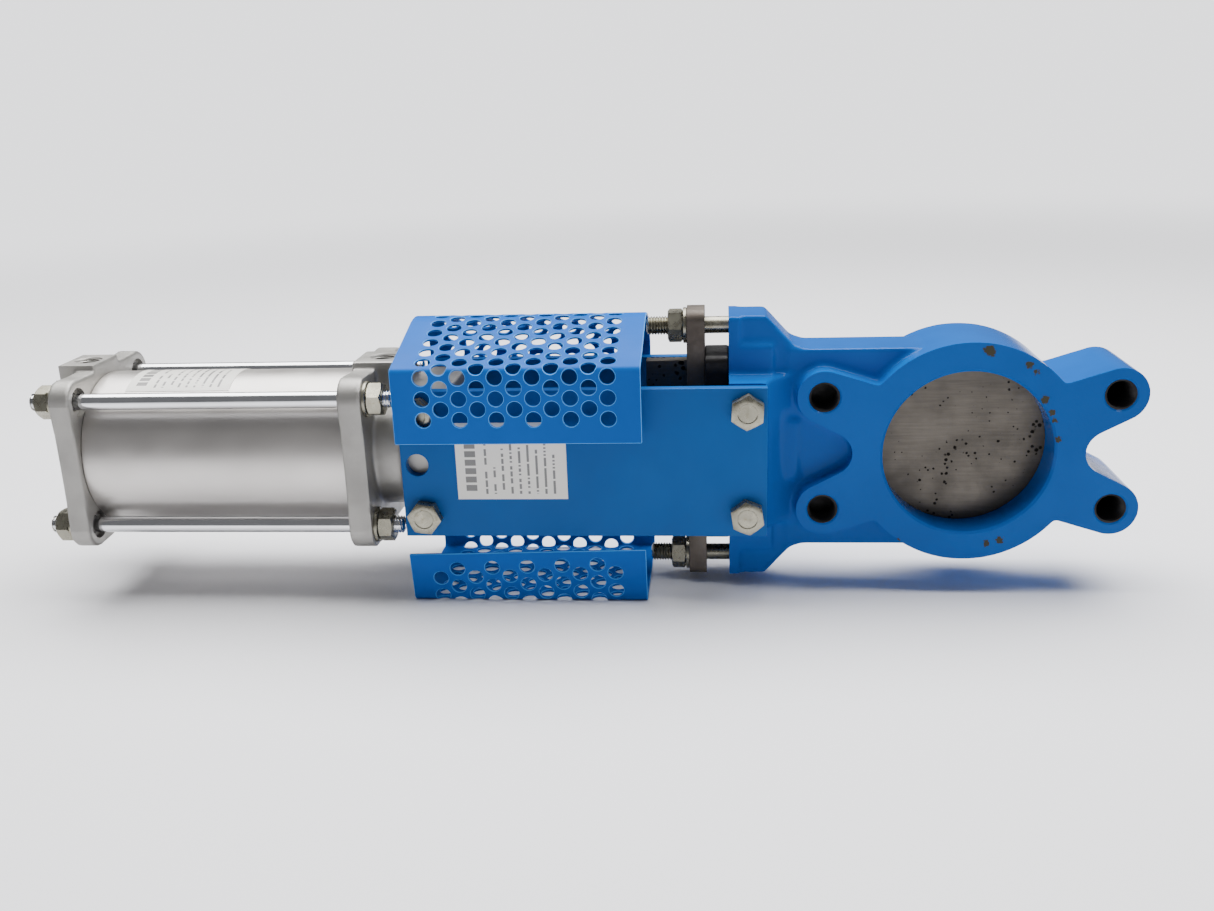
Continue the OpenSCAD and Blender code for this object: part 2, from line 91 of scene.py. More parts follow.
def colour(name, description, red, green, blue):
    return bpy.props.FloatVectorProperty(
        name=name, description=description, default=(red, green, blue), size=3, subtype="COLOR", min=0, max=1
    )


def angle(name, description, value):
    return bpy.props.FloatProperty(name=name, description=description, default=value, unit="ROTATION")


class ValveCasting(bpy.types.PropertyGroup):
    """Sizes of the iron body"""
    ring_radius: length("Ring radius", "Outside radius of the port ring", 58.7)
    face: length("Half face to face", "Distance from the middle to a machined port face", 25)
    port_radius: length("Port radius", "Radius of the port", 43.5)
    lug_circle: length("Lug circle", "Radius of the circle of the pipe bolts", 80)
    lug_tip: length("Lug tip radius", "Radius of the round end of a lug", 14)
    lug_root: length("Lug root half width", "Half the width of a lug where it leaves the ring", 17)
    lug_angle: angle("Lug angle", "Angle of a lug from the stem line", radians(22.5))
    thread_radius: length("Lug thread radius", "Major radius of the thread in a lug", 8)
    neck_half: length("Neck half height", "Half the height of the neck", 54.2)
    neck_thick: length("Neck half thickness", "Half the thickness of the neck", 15)
    skin: length("Casting mesh", "Size of a face on the cast surfaces", 1.25)
    rounding: bpy.props.IntProperty(
        name="Rounding", description="Smoothing passes that round the cast edges", default=8, min=0
    )


class ValveSheet(bpy.types.PropertyGroup):
    """Sizes of the plates and guards"""
    guard_thick: length("Guard sheet", "Thickness of the guard sheet", 1.5)
    guard_hole: length("Perforation radius", "Radius of a perforation", 4)
    guard_pitch: length("Perforation pitch", "Distance between neighbouring perforations", 11)
    first_column: length("First column", "Distance from the guard's edge to the first column", 16)
    fold_radius: length("Fold radius", "Radius of a sharp fold", 2.2)
    crest_radius: length("Crest radius", "Radius of the soft fold on top of the upper guard", 32)
    columns: bpy.props.IntProperty(
        name="Columns", description="Columns of perforations on a guard", default=11, min=1
    )


class ValveFasteners(bpy.types.PropertyGroup):
    """Sizes of bolts, nuts and studs"""
    across: length("Across flats", "Width across flats of the M10 hexagons", 16)
    head: length("Bolt head", "Height of a bolt head", 6.4)
    nut: length("Nut", "Height of a nut", 8)
    pitch: length("Thread pitch", "Pitch of the M10 threads", 1.5)
    depth: length("Thread depth", "Depth of the M10 threads", 0.85)


class ValveFinishes(bpy.types.PropertyGroup):
    """Colours of the valve"""
    enamel: colour("Body enamel", "Gloss enamel on the casting", 0.001, 0.092, 0.38)
    plate: colour("Plate paint", "Satin paint on the yoke plates", 0.003, 0.090, 0.33)
    guard: colour("Guard paint", "Satin paint on the guards", 0.001, 0.105, 0.46)
    gate: colour("Gate steel", "Brushed stainless steel of the gate", 0.135, 0.120, 0.102)
    gland: colour("Gland metal", "Rough metal of the gland bar", 0.135, 0.116, 0.098)
    # Also colours the caps at the foot of the blind lug holes, where it is painted shade.
    dark: colour("Dark metal", "Oily dark metal", 0.012, 0.011, 0.012)
    zinc: colour("Zinc", "Pale plating on the fasteners", 0.33, 0.315, 0.25)
    chrome: colour("Chrome", "Chromed rods", 0.80, 0.81, 0.83)
    cast: colour("Cast heads", "Blasted light alloy of the cylinder heads", 0.37, 0.36, 0.34)
    barrel: colour("Barrel", "Satin steel of the barrel", 0.60, 0.575, 0.55)
    paper: colour("Label paper", "Paper of the labels", 0.82, 0.80, 0.75)


class ValveStage(bpy.types.PropertyGroup):
    """Camera and lights"""
    lens: bpy.props.FloatProperty(
        name="Lens", description="Focal length", default=35.87, unit="CAMERA"
    )
    place: bpy.props.FloatVectorProperty(
        name="Camera place", description="Where the camera stands", size=3, subtype="TRANSLATION",
        default=(-0.127645, -0.635315, 0.193819), precision=5
    )
    turn: angle("Turn", "Camera's turn to the right", -0.098)
    dip: angle("Dip", "Camera's tilt downwards", 0.306)
    roll: angle("Roll", "Camera's roll", 0.035)


SETTINGS = {
    "valve_casting": ValveCasting,
    "valve_sheet": ValveSheet,
    "valve_fasteners": ValveFasteners,
    "valve_finishes": ValveFinishes,
    "valve_stage": ValveStage,
}


# Mesh helpers. A mesh is worked on in millimetres and scaled when its piece is finished.

def mm(value):
    return value / MM


def node_box(node):
    """Lowest and highest corner of a CAD node, in millimetres."""
    low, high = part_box(node)
    return low / MM, high / MM


def verts_of(geometry):
    return [item for item in geometry if isinstance(item, bmesh.types.BMVert)]


def edges_within(geometry, verts):
    return [item for item in geometry if isinstance(item, bmesh.types.BMEdge) and set(item.verts) <= verts]


def links(verts, kind):
    """Edges or faces at the vertices."""
    return list({item for vert in verts for item in getattr(vert, kind)})


def newer(bm, before):
    return [v for v in bm.verts if v not in before]


def put(bm, before, place):
    """Moves the vertices made since to their place and turns their faces outwards."""
    made = newer(bm, before)
    bmesh.ops.transform(bm, matrix=place, verts=made)
    bmesh.ops.recalc_face_normals(bm, faces=links(made, "link_faces"))


def moved(x=0.0, y=0.0, z=0.0):
    return Matrix.Translation((x, y, z))


def turned_about(axis, bearing):
    return Matrix.Rotation(bearing, 4, axis)


def add_box(bm, low, high):
    low, high = Vector(low), Vector(high)
    place = Matrix.Translation((high + low) / 2) @ Matrix.Diagonal((*(high - low), 1))
    bmesh.ops.create_cube(bm, size=1, matrix=place)


def add_bar(bm, turned_to, radius, start, end, centre=(0, 0), steps=72):
    """A round bar along an axis, from start to end, with its centre given across the axis."""
    bmesh.ops.create_cone(
        bm, cap_ends=True, segments=steps, radius1=radius, radius2=radius, depth=end - start,
        matrix=turned_to @ moved(*centre, (start + end) / 2)
    )


def add_prism(bm, outline, place, height):
    """A flat outline, given in local x and y, raised by height along local z and put in place."""
    before = set(bm.verts)
    face = bm.faces.new([bm.verts.new((x, y, 0)) for x, y in outline])
    raised = bmesh.ops.extrude_face_region(bm, geom=[face])["geom"]
    bmesh.ops.translate(bm, verts=verts_of(raised), vec=(0, 0, height))
    put(bm, before, place)


def spin_profile(bm, profile, steps, closed=False, **screw):
    verts = [bm.verts.new((radius, 0, along)) for along, radius in profile]
    pairs = zip(verts, verts[1:] + verts[:1] if closed else verts[1:])
    edges = [bm.edges.new(pair) for pair in pairs]
    bmesh.ops.spin(
        bm, geom=verts + edges, cent=(0, 0, 0), axis=(0, 0, 1), angle=FULL_TURN, steps=steps, **screw
    )


def add_turned(bm, profile, place=ALONG_X, steps=96, closed=False):
    """Turns (along, radius) points round an axis. A closed profile gives a ring or a hollow part."""
    before = set(bm.verts)
    spin_profile(bm, profile, steps, closed, use_merge=True)
    bmesh.ops.remove_doubles(bm, verts=newer(bm, before), dist=TOUCH)
    put(bm, before, place)


def turned(profile, place=ALONG_X, steps=96, closed=False):
    bm = bmesh.new()
    add_turned(bm, profile, place, steps, closed)
    return bm


def add_rings(bm, rings, place, steps=36):
    """A shell through rings. Each ring is a function from an angle to (radius, height)."""
    before = set(bm.verts)
    loop = set(bmesh.ops.create_circle(bm, segments=steps, radius=1)["verts"])
    first = last = links(loop, "link_edges")
    shape_ring(loop, rings[0])
    for ring in rings[1:]:
        grown = bmesh.ops.extrude_edge_only(bm, edges=last)["geom"]
        loop = set(verts_of(grown))
        shape_ring(loop, ring)
        last = edges_within(grown, loop)
    if rings[0](0)[0] < SOLID_CORE:
        bmesh.ops.contextual_create(bm, geom=first)
        bmesh.ops.contextual_create(bm, geom=last)
    else:
        bmesh.ops.bridge_loops(bm, edges=first + last)
    put(bm, before, place)


def shape_ring(loop, ring):
    for vert in loop:
        bearing = atan2(vert.co.y, vert.co.x)
        radius, height = ring(bearing)
        vert.co = (radius * cos(bearing), radius * sin(bearing), height)


def round_ring(radius, height):
    return lambda bearing: (radius, height)


def add_hexagon(bm, place, across, height, bore=0.0, both_ends=True, dimple=0.0):
    """A hexagon from z = 0 up to height, its corners turned off at 30 degrees."""
    flat = across / 2
    circle = 0.95 * flat
    core = bore or 0.3 * SOLID_CORE

    def reach(bearing):
        return flat / cos((bearing + FULL_TURN) % (pi / 3) - pi / 6)

    def drop(bearing):
        return (reach(bearing) - circle) * tan(radians(30))

    rings = [round_ring(core, 0)]
    rings += [round_ring(circle, 0), lambda b: (reach(b), drop(b))] if both_ends else [lambda b: (reach(b), 0)]
    rings += [lambda b: (reach(b), height - drop(b)), round_ring(circle, height)]
    if dimple:
        rings += [round_ring(0.66 * flat, height), round_ring(0.60 * flat, height - dimple)]
    add_rings(bm, rings + [round_ring(core, height - dimple)], place)


def add_thread(bm, place, radius, start, end, pitch, depth, bore_wall=0.0, point=0.0, steps=28):
    """A real screw surface along local z. With a bore wall it is a threaded sleeve, else a rod end."""
    before = set(bm.verts)
    turns = ceil((end - start) / pitch) + 2
    root, profile = radius - depth, []
    for turn in range(turns):
        foot = start + (turn - 1.5) * pitch
        profile += [(foot, root), (foot + 0.44 * pitch, radius), (foot + 0.56 * pitch, radius)]
    profile.append((start + (turns - 1.5) * pitch, root))
    spin_profile(bm, profile, steps, dvec=(0, 0, pitch / steps))
    bmesh.ops.remove_doubles(bm, verts=newer(bm, before), dist=10 * TOUCH)
    for height, outwards in ((start, -1), (end, 1)):
        own = newer(bm, before)
        bmesh.ops.bisect_plane(
            bm, geom=own + links(own, "link_edges") + links(own, "link_faces"), dist=TOUCH,
            plane_co=(0, 0, height), plane_no=(0, 0, outwards), clear_outer=True
        )
    rims = [e for e in links(newer(bm, before), "link_edges") if e.is_boundary]
    grown = bmesh.ops.extrude_edge_only(bm, edges=rims)["geom"]
    ends = set(verts_of(grown))
    for vert in ends:
        if bore_wall:
            vert.co.xy = vert.co.xy.normalized() * bore_wall
        else:
            vert.co.xy *= (root - point) / radius
            vert.co.z += point if vert.co.z > (start + end) / 2 else -point
    if bore_wall:
        bmesh.ops.bridge_loops(bm, edges=edges_within(grown, ends))
    else:
        bmesh.ops.holes_fill(bm, edges=edges_within(grown, ends), sides=0)
    put(bm, before, place)


def soften(bm, width, crease=40, segments=1):
    """Breaks every edge that is sharper than the crease angle."""
    edges = [e for e in bm.edges if len(e.link_faces) == 2 and e.calc_face_angle() > radians(crease)]
    bmesh.ops.bevel(
        bm, geom=edges, offset=width, offset_type="OFFSET", affect="EDGES", segments=segments, profile=0.5,
        material=-1, clamp_overlap=True
    )


def blank(outline, holes, thickness, edge):
    """A flat sheet with holes in local x and y, z from 0 to thickness, its rims slightly broken."""
    bm = bmesh.new()
    verts = [bm.verts.new((x, y, 0)) for x, y in outline]
    for pair in zip(verts, verts[1:] + verts[:1]):
        bm.edges.new(pair)
    for x, y, radius in holes:
        bmesh.ops.create_circle(bm, segments=24 if radius < 5 else 36, radius=radius, matrix=moved(x, y))
    bmesh.ops.triangle_fill(bm, edges=bm.edges[:], use_beauty=True, use_dissolve=False, normal=(0, 0, 1))
    raised = bmesh.ops.extrude_face_region(bm, geom=bm.faces[:])["geom"]
    bmesh.ops.translate(bm, verts=verts_of(raised), vec=(0, 0, thickness))
    bmesh.ops.recalc_face_normals(bm, faces=bm.faces[:])
    soften(bm, edge)
    return bm


def mesh_object(name, bm, unit=MM):
    """Writes a bmesh, which is in millimetres unless told otherwise, to a new object in metres."""
    bmesh.ops.scale(bm, vec=(unit, unit, unit), verts=bm.verts[:])
    mesh = bpy.data.meshes.new(name)
    bm.to_mesh(mesh)
    bm.free()
    return add_object(name, mesh)


def add_object(name, data):
    made = bpy.data.objects.new(name, data)
    bpy.context.scene.collection.objects.link(made)
    return made


def settle(made, crease):
    """Applies the modifiers and shades the mesh, with hard edges above the crease angle."""
    bpy.context.view_layer.update()
    graph = bpy.context.evaluated_depsgraph_get()
    mesh = bpy.data.meshes.new_from_object(made.evaluated_get(graph))
    made.modifiers.clear()
    made.data = mesh
    mesh.name = made.name
    mesh.polygons.foreach_set("use_smooth", [True] * len(mesh.polygons))
    mesh.set_sharp_from_angle(angle=radians(crease))


def show(made, slot, replaced=(), crease=34, body=FIXED):
    """Finishes a piece: shading, material, the body that it rides on and the CAD nodes it stands for."""
    settle(made, crease)
    made.data.materials.clear()
    made.data.materials.append(finish_of(slot))
    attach(made, body)
    if replaced:
        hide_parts(*replaced)


def piece(name, bm, *finishing, **more):
    show(mesh_object(name, bm), *finishing, **more)


def cast_solid(name, masses, face, passes):
    """Joins overlapping masses into one skin and rounds it like a casting."""
    made = mesh_object(name, masses)
    skin = made.modifiers.new("skin", "REMESH")
    skin.mode, skin.voxel_size = "VOXEL", face
    rounding = made.modifiers.new("rounding", "SMOOTH")
    rounding.factor, rounding.iterations = 0.5, passes
    settle(made, 180)
    return made


def carve(made, cutters, operation="DIFFERENCE"):
    """Cuts or adds exact solids, one after another."""
    tools = [mesh_object("cutter", cutter) for cutter in cutters]
    for tool in tools:
        cut = made.modifiers.new("cut", "BOOLEAN")
        cut.operation, cut.object, cut.solver = operation, tool, "MANIFOLD"
    settle(made, 180)
    for tool in tools:
        bpy.data.objects.remove(tool)


def softened_copy(node, width):
    """A copy of a CAD node with merged faces and broken edges, in millimetres."""
    bm = bmesh.new()
    bm.from_mesh(frame["nodes"][node].data)
    bmesh.ops.scale(bm, vec=(1 / MM, 1 / MM, 1 / MM), verts=bm.verts[:])
    bmesh.ops.remove_doubles(bm, verts=bm.verts[:], dist=10 * TOUCH)
    bmesh.ops.dissolve_limit(
        bm, angle_limit=radians(1), verts=bm.verts[:], edges=bm.edges[:], use_dissolve_boundaries=False
    )
    soften(bm, width, 35, 2)
    return bm


# Finishes. Effects that more than one finish uses are node groups.

class Tree:
    """A node tree being built."""

    def __init__(self, tree):
        self.tree = tree
        self.column = 0

    def add(self, kind, inputs=None, **settings):
        node = self.tree.nodes.new(kind if kind.startswith("NodeGroup") else "ShaderNode" + kind)
        node.location = (self.column, 0)
        self.column += 180
        for name, value in settings.items():
            setattr(node, name, value)
        for name, value in (inputs or {}).items():
            self.feed(node.inputs[name], value)
        return node

    def feed(self, socket, value):
        if isinstance(value, bpy.types.NodeSocket):
            self.tree.links.new(value, socket)
        else:
            socket.default_value = value

    def math(self, operation, *values):
        return self.add("Math", dict(enumerate(values)), operation=operation).outputs[0]

    def times(self, first, *others):
        for other in others:
            first = self.math("MULTIPLY", first, other)
        return first

    def plus(self, first, second):
        return self.math("ADD", first, second)

    def between(self, value, low, high):
        return self.times(self.math("GREATER_THAN", value, low), self.math("LESS_THAN", value, high))

    def vector(self, operation, *values):
        return self.add("VectorMath", dict(enumerate(values)), operation=operation).outputs

    def ramp(self, value, low, high, start=0.0, end=1.0):
        """A smooth step from start to end as the value goes from low to high."""
        inputs = {"Value": value, "From Min": low, "From Max": high, "To Min": start, "To Max": end}
        return self.add("MapRange", inputs, interpolation_type="SMOOTHSTEP", clamp=True).outputs["Result"]

    def mix(self, share, first, second):
        return self.add("Mix", {0: share, 6: first, 7: second}, data_type="RGBA").outputs[2]

    def mix_value(self, share, first, second):
        return self.add("Mix", {0: share, 2: first, 3: second}, data_type="FLOAT").outputs[0]

    def place(self):
        return self.add("TexCoord").outputs["Object"]

    def noise(self, scale, detail=3.0, roughness=0.55, vector=None):
        where = self.place() if vector is None else vector
        inputs = {"Vector": where, "Scale": scale, "Detail": detail, "Roughness": roughness}
        return self.add("TexNoise", inputs).outputs["Fac"]

    def cells(self, scale):
        return self.add("TexVoronoi", {"Vector": self.place(), "Scale": scale}).outputs["Distance"]

    def draw(self, seed):
        return self.add("TexWhiteNoise", {"W": seed}, noise_dimensions="1D").outputs["Value"]

    def group(self, name, **inputs):
        sockets = {key.capitalize(): value for key, value in inputs.items()}
        return self.add("Group", node_tree=effect(name), inputs=sockets).outputs[0]


def build_uneven(tree, scale):
    """Clouds of slow change across a surface, from 0 to 1."""
    return tree.noise(scale, 4)


def build_peel(tree, scale, nibs):
    """The soft ripple of sprayed paint with a few dust nibs."""
    dust = tree.ramp(tree.noise(tree.times(scale, 3.3), 1), 0.70, 0.80)
    return tree.plus(tree.noise(scale, 2), tree.times(dust, nibs))


def build_cast(tree, scale, pebbles):
    """The pebbled skin of a sand or shell casting."""
    grains = tree.cells(tree.times(scale, 2.5))
    return tree.plus(tree.noise(scale, 6, 0.65), tree.times(grains, pebbles))


def build_brushed(tree, scale, stretch):
    """Fine scratches along the direction in which the stretch is small."""
    drawn = tree.vector("MULTIPLY", tree.place(), stretch)[0]
    fine = tree.noise(scale, 6, 0.7, drawn)
    broad = tree.noise(tree.times(scale, 0.12), vector=drawn)
    return tree.plus(tree.times(fine, 0.7), tree.times(broad, 0.3))


def build_pits(tree, scale, size, thin):
    """Scattered dark pits of uneven size, in loose clusters."""
    clusters = tree.noise(tree.times(scale, 0.13), 2)
    reach = tree.times(tree.ramp(clusters, thin, 0.75), size)
    ragged = tree.times(tree.plus(tree.noise(tree.times(scale, 5), 2), -0.5), 0.2)
    return tree.ramp(tree.plus(tree.cells(scale), ragged), reach, tree.times(reach, 0.6))


def build_chip(tree, centre, radius, ragged):
    """One ragged patch round a centre."""
    away = tree.vector("DISTANCE", tree.place(), centre)["Value"]
    edge = tree.times(tree.plus(tree.noise(420.0, 5, 0.7), -0.5), ragged)
    return tree.ramp(tree.plus(away, edge), radius, tree.times(radius, 0.8))


def build_print(tree, rows, cells, start, block):
    """Plain printed bars of uneven length, in rows across the label's own map."""
    spot = tree.add("SeparateXYZ", {0: tree.add("UVMap", uv_map="label").outputs[0]})
    u, v = spot.outputs["X"], spot.outputs["Y"]
    across = tree.times(u, rows)
    row = tree.math("FLOOR", across)
    band = tree.between(tree.math("FRACT", across), 0.36, 0.64)
    end = tree.plus(tree.times(tree.draw(row), 0.45), 0.42)
    cell = tree.math("FLOOR", tree.plus(tree.times(v, cells), tree.times(row, 7.3)))
    inked = tree.math("GREATER_THAN", tree.draw(cell), 0.24)
    bars = tree.times(band, tree.between(v, 0.07, end), inked, tree.between(u, start, 0.95))
    teeth = tree.math("LESS_THAN", tree.math("FRACT", tree.times(v, 9.0)), 0.72)
    blocks = tree.times(tree.between(u, 0.08, block), tree.between(v, 0.08, 0.80), teeth)
    return tree.math("MAXIMUM", bars, blocks)


EFFECTS = {
    "Uneven tone": (build_uneven, ("Scale",)),
    "Paint peel": (build_peel, ("Scale", "Nibs")),
    "Cast skin": (build_cast, ("Scale", "Pebbles")),
    "Brushed grain": (build_brushed, ("Scale", "Stretch")),
    "Pits": (build_pits, ("Scale", "Size", "Thin")),
    "Chip": (build_chip, ("Centre", "Radius", "Ragged")),
    "Printed bars": (build_print, ("Rows", "Cells", "Start", "Block")),
}
VECTORS = ("Stretch", "Centre")


def effect(name):
    """The node group of that effect, built the first time that it is asked for."""
    if name in bpy.data.node_groups:
        return bpy.data.node_groups[name]
    build, sockets = EFFECTS[name]
    group = bpy.data.node_groups.new(name, "ShaderNodeTree")
    for socket in sockets:
        kind = "NodeSocketVector" if socket in VECTORS else "NodeSocketFloat"
        group.interface.new_socket(name=socket, in_out="INPUT", socket_type=kind)
    group.interface.new_socket(name="Value", in_out="OUTPUT", socket_type="NodeSocketFloat")
    tree = Tree(group)
    inlet = tree.add("NodeGroupInput").outputs
    tree.add("NodeGroupOutput", {"Value": build(tree, *(inlet[socket] for socket in sockets))})
    return group


def peel(scale, nibs=0.3):
    return "Paint peel", {"scale": scale, "nibs": nibs}


def cast_skin(scale, pebbles=0.3):
    return "Cast skin", {"scale": scale, "pebbles": pebbles}


def brushed(scale, *stretch):
    return "Brushed grain", {"scale": scale, "stretch": stretch}


BARE_IRON = (0.050, 0.046, 0.030, 1)
CHIPS = (
    ((7.7, -25, 54.2), 2.6), ((27.8, -25, 46.7), 1.6), ((31, -25, 42.5), 1.3), ((36.5, -25, 28.4), 1.9),
    ((40.5, -25, 22), 1.5), ((42.2, -25, 17.8), 1.3), ((44.5, -25, 7.1), 1.4), ((18.7, -25, -48), 1.7),
    ((12, -25, -50), 1.3), ((-34, -25, -48), 0.9), ((58, -25, -52), 1.0),
)


def wear_enamel(tree, tone, roughness):
    """Chips round the port, down to the iron."""
    bare = 0.0
    for centre, radius in CHIPS:
        patch = tree.group("Chip", centre=Vector(centre) * MM, radius=1.25 * radius * MM, ragged=7 * MM)
        bare = tree.math("MAXIMUM", bare, patch)
    return tree.mix(bare, tone, BARE_IRON), tree.mix_value(bare, roughness, 0.7)


def painted_rim_highlight(tree, tone, roughness):
    """Painted highlight: pale blue mixed over the chamfers round the perforations and along the sheet's edges, in
    place of light caught on the rounded paint of the rims.
    """
    rim = tree.add("Attribute", attribute_name="rim").outputs["Fac"]
    return tree.mix(tree.times(rim, 0.75), tone, (0.10, 0.36, 0.85, 1)), roughness


def wear_gate(tree, tone, roughness):
    """Grain in the colour and dark pits."""
    grain = tree.ramp(tree.group("Brushed grain", scale=900.0, stretch=(0.05, 1, 1)), 0.35, 0.65)
    deep = darker(bpy.context.scene.valve_finishes.gate, 0.50)
    tone = tree.mix(tree.times(grain, 0.45), tone, (*deep, 1))
    pits = tree.group("Pits", scale=290.0, size=0.42, thin=0.36)
    return tree.mix(pits, tone, (0.012, 0.010, 0.008, 1)), tree.mix_value(pits, roughness, 0.8)


def grime(scale, start, most, soil):
    """Dirt in clouds."""
    def wear(tree, tone, roughness):
        dirt = tree.ramp(tree.group("Uneven tone", scale=scale), start, 0.70, 0.0, most)
        return tree.mix(dirt, tone, (*soil, 1)), roughness
    return wear


def wear_label(tree, tone, roughness):
    """Printed bars on the paper, with no lettering."""
    ink = tree.group("Printed bars", rows=13.0, cells=44.0, start=0.24, block=0.18)
    return tree.mix(tree.times(ink, 0.82), tone, (0.03, 0.03, 0.035, 1)), roughness


FINISHES = {
    "body_enamel": (
        "enamel", 0.86, 0.20, 0.07, peel(420.0), 0.00008, {"coat": 0.14, "wear": wear_enamel, "gloss": 0.06}
    ),
    "plate_paint": ("plate", 0.86, 0.38, 0.06, peel(700.0), 0.00004, {"gloss": 0.12}),
    # The guards' finish paints a pale highlight on the rims of the sheet.
    "guard_paint": ("guard", 0.88, 0.36, 0.06, peel(800.0), 0.00004, {"wear": painted_rim_highlight, "gloss": 0.06}),
    "gate_steel": (
        "gate", 0.72, 0.44, 0.08, brushed(900.0, 0.05, 1, 1), 0.00003,
        {"metallic": 0.85, "cloud": 22.0, "wear": wear_gate}
    ),
    "gland_metal": (
        "gland", 0.7, 0.55, 0.1, cast_skin(900.0), 0.00009,
        {"metallic": 0.75, "cloud": 35.0, "wear": grime(60.0, 0.50, 0.6, (0.075, 0.06, 0.05))}
    ),
    "dark_metal": ("dark", 0.5, 0.5, 0.15, cast_skin(700.0), 0.0001, {"metallic": 0.5, "cloud": 40.0}),
    "fastener_zinc": (
        "zinc", 0.78, 0.30, 0.08, cast_skin(1500.0, 0.1), 0.00003,
        {"metallic": 0.9, "cloud": 90.0, "wear": grime(330.0, 0.56, 0.5, (0.20, 0.17, 0.11))}
    ),
    "rod_chrome": (
        "chrome", 0.9, 0.13, 0.05, brushed(1500.0, 0.03, 1, 1), 0.000006, {"metallic": 1.0, "cloud": 20.0}
    ),
    "cast_head": ("cast", 0.80, 0.48, 0.06, cast_skin(1700.0, 0.5), 0.00007, {"metallic": 0.8, "cloud": 26.0}),
    "barrel_steel": (
        "barrel", 0.93, 0.38, 0.05, brushed(1100.0, 1, 0.12, 0.12), 0.000012, {"metallic": 0.9, "cloud": 9.0}
    ),
    "bronze": ((0.55, 0.36, 0.14), (0.42, 0.27, 0.11), 0.42, 0.08, cast_skin(1400.0), 0.00003, {"metallic": 0.9}),
    "seal_rubber": ((0.018, 0.018, 0.019), (0.028, 0.027, 0.026), 0.62, 0.1, cast_skin(1200.0), 0.00003, {}),
    "packing_fibre": ((0.45, 0.41, 0.33), (0.30, 0.27, 0.22), 0.85, 0.08, brushed(600.0, 1, 0.4, 0.4), 0.0002, {}),
    "ptfe": ((0.80, 0.79, 0.75), (0.72, 0.71, 0.66), 0.5, 0.05, peel(900.0), 0.00002, {}),
    "label_paper": ("paper", 0.94, 0.38, 0.05, peel(600.0, 0.1), 0.00002, {"coat": 0.2, "wear": wear_label}),
}


def darker(tone, share):
    return tuple(channel * share for channel in tone)


def new_material(name):
    material = bpy.data.materials.new(name)
    material.use_nodes = True
    material.node_tree.nodes.clear()
    return material, Tree(material.node_tree)


def finish(name, base, shade, rough, spread, relief, depth, metallic=0.0, coat=0.0, cloud=12.0, gloss=0.5,
           wear=None):
    """A finish: base colour clouded with a second shade, uneven roughness and a relief in metres."""
    material, tree = new_material(name)
    clouds = tree.group("Uneven tone", scale=cloud)
    tone = tree.mix(tree.ramp(clouds, 0.35, 0.65), (*base, 1), (*shade, 1))
    roughness = tree.ramp(tree.group("Uneven tone", scale=cloud * 3.1), 0.3, 0.7, rough - spread, rough + spread)
    # This step adds real chips, dirt, grain or print, and on the guards a painted rim highlight.
    if wear:
        tone, roughness = wear(tree, tone, roughness)
    height = tree.group(relief[0], **relief[1])
    bump = tree.add("Bump", {"Strength": 1.0, "Distance": depth, "Height": height})
    shader = tree.add("BsdfPrincipled", {
        "Base Color": tone, "Roughness": roughness, "Metallic": metallic, "Coat Weight": coat,
        "Coat Roughness": 0.08, "Coat IOR": 1.35, "Specular IOR Level": gloss, "Normal": bump.outputs["Normal"],
    })
    tree.add("OutputMaterial", {"Surface": shader.outputs["BSDF"]})
    return material


def finish_of(slot):
    """The material of a slot, made the first time that it is asked for."""
    name = slot + "_finish"
    if name in bpy.data.materials:
        return bpy.data.materials[name]
    base, shade, *surface, more = FINISHES[slot]
    if isinstance(base, str):
        base = getattr(bpy.context.scene.valve_finishes, base)
        shade = darker(base, shade)
    return finish(name, base, shade, *surface, **more)


# Iron body

def lug_places(s):
    """Middles of the four pipe bolt holes, as (x, z)."""
    across, up = mm(s.lug_circle) * cos(s.lug_angle), mm(s.lug_circle) * sin(s.lug_angle)
    return [(x, z) for x in (-across, across) for z in (-up, up)]


def lug_hole_places(s):
    """Place and foot of each screwed hole. Those beside the neck are blind, one from each face."""
    face = mm(s.face)
    found = []
    for x, z in lug_places(s):
        ends = [(0, -face)] if x > 0 else [(turn, face - BLIND_DEPTH) for turn in (0, pi)]
        found += [(moved(x, 0, z) @ turned_about("Z", turn) @ ALONG_Y, foot) for turn, foot in ends]
    return found


def yoke_bolt_places(node):
    """Middles of the bolts of a yoke node, as (x, z)."""
    low, high = node_box(node)
    reach = high.z - BOLT_HALF_FLAT
    return [((low.x + high.x) / 2, z) for z in (-reach, reach)]


BOLT_HALF_FLAT = 8
STUD_RADIUS = 5
PAD_HALF = 41        # half the height of the pads that the yoke plates lie on
PAD_FACE = 34        # from the middle to the face of a pad
SWEEP = 19           # radius of the sweep from a pad down to the neck
BLIND_DEPTH = 16     # of the pipe bolt holes beside the neck
SPARE = 2.5          # what is left on a face for machining
CLEAR = 60           # past everything across the body
GATE_HALF = 4.6      # half the width of the gate's slot
SEAL_SEAT = 47.5     # radius of the recess behind the port, and half the height of the slot
SCREW_HOLE = 5.1     # radius of a plain hole for an M10 thread


def stud_height():
    return node_box("gland_studs")[1].z - STUD_RADIUS


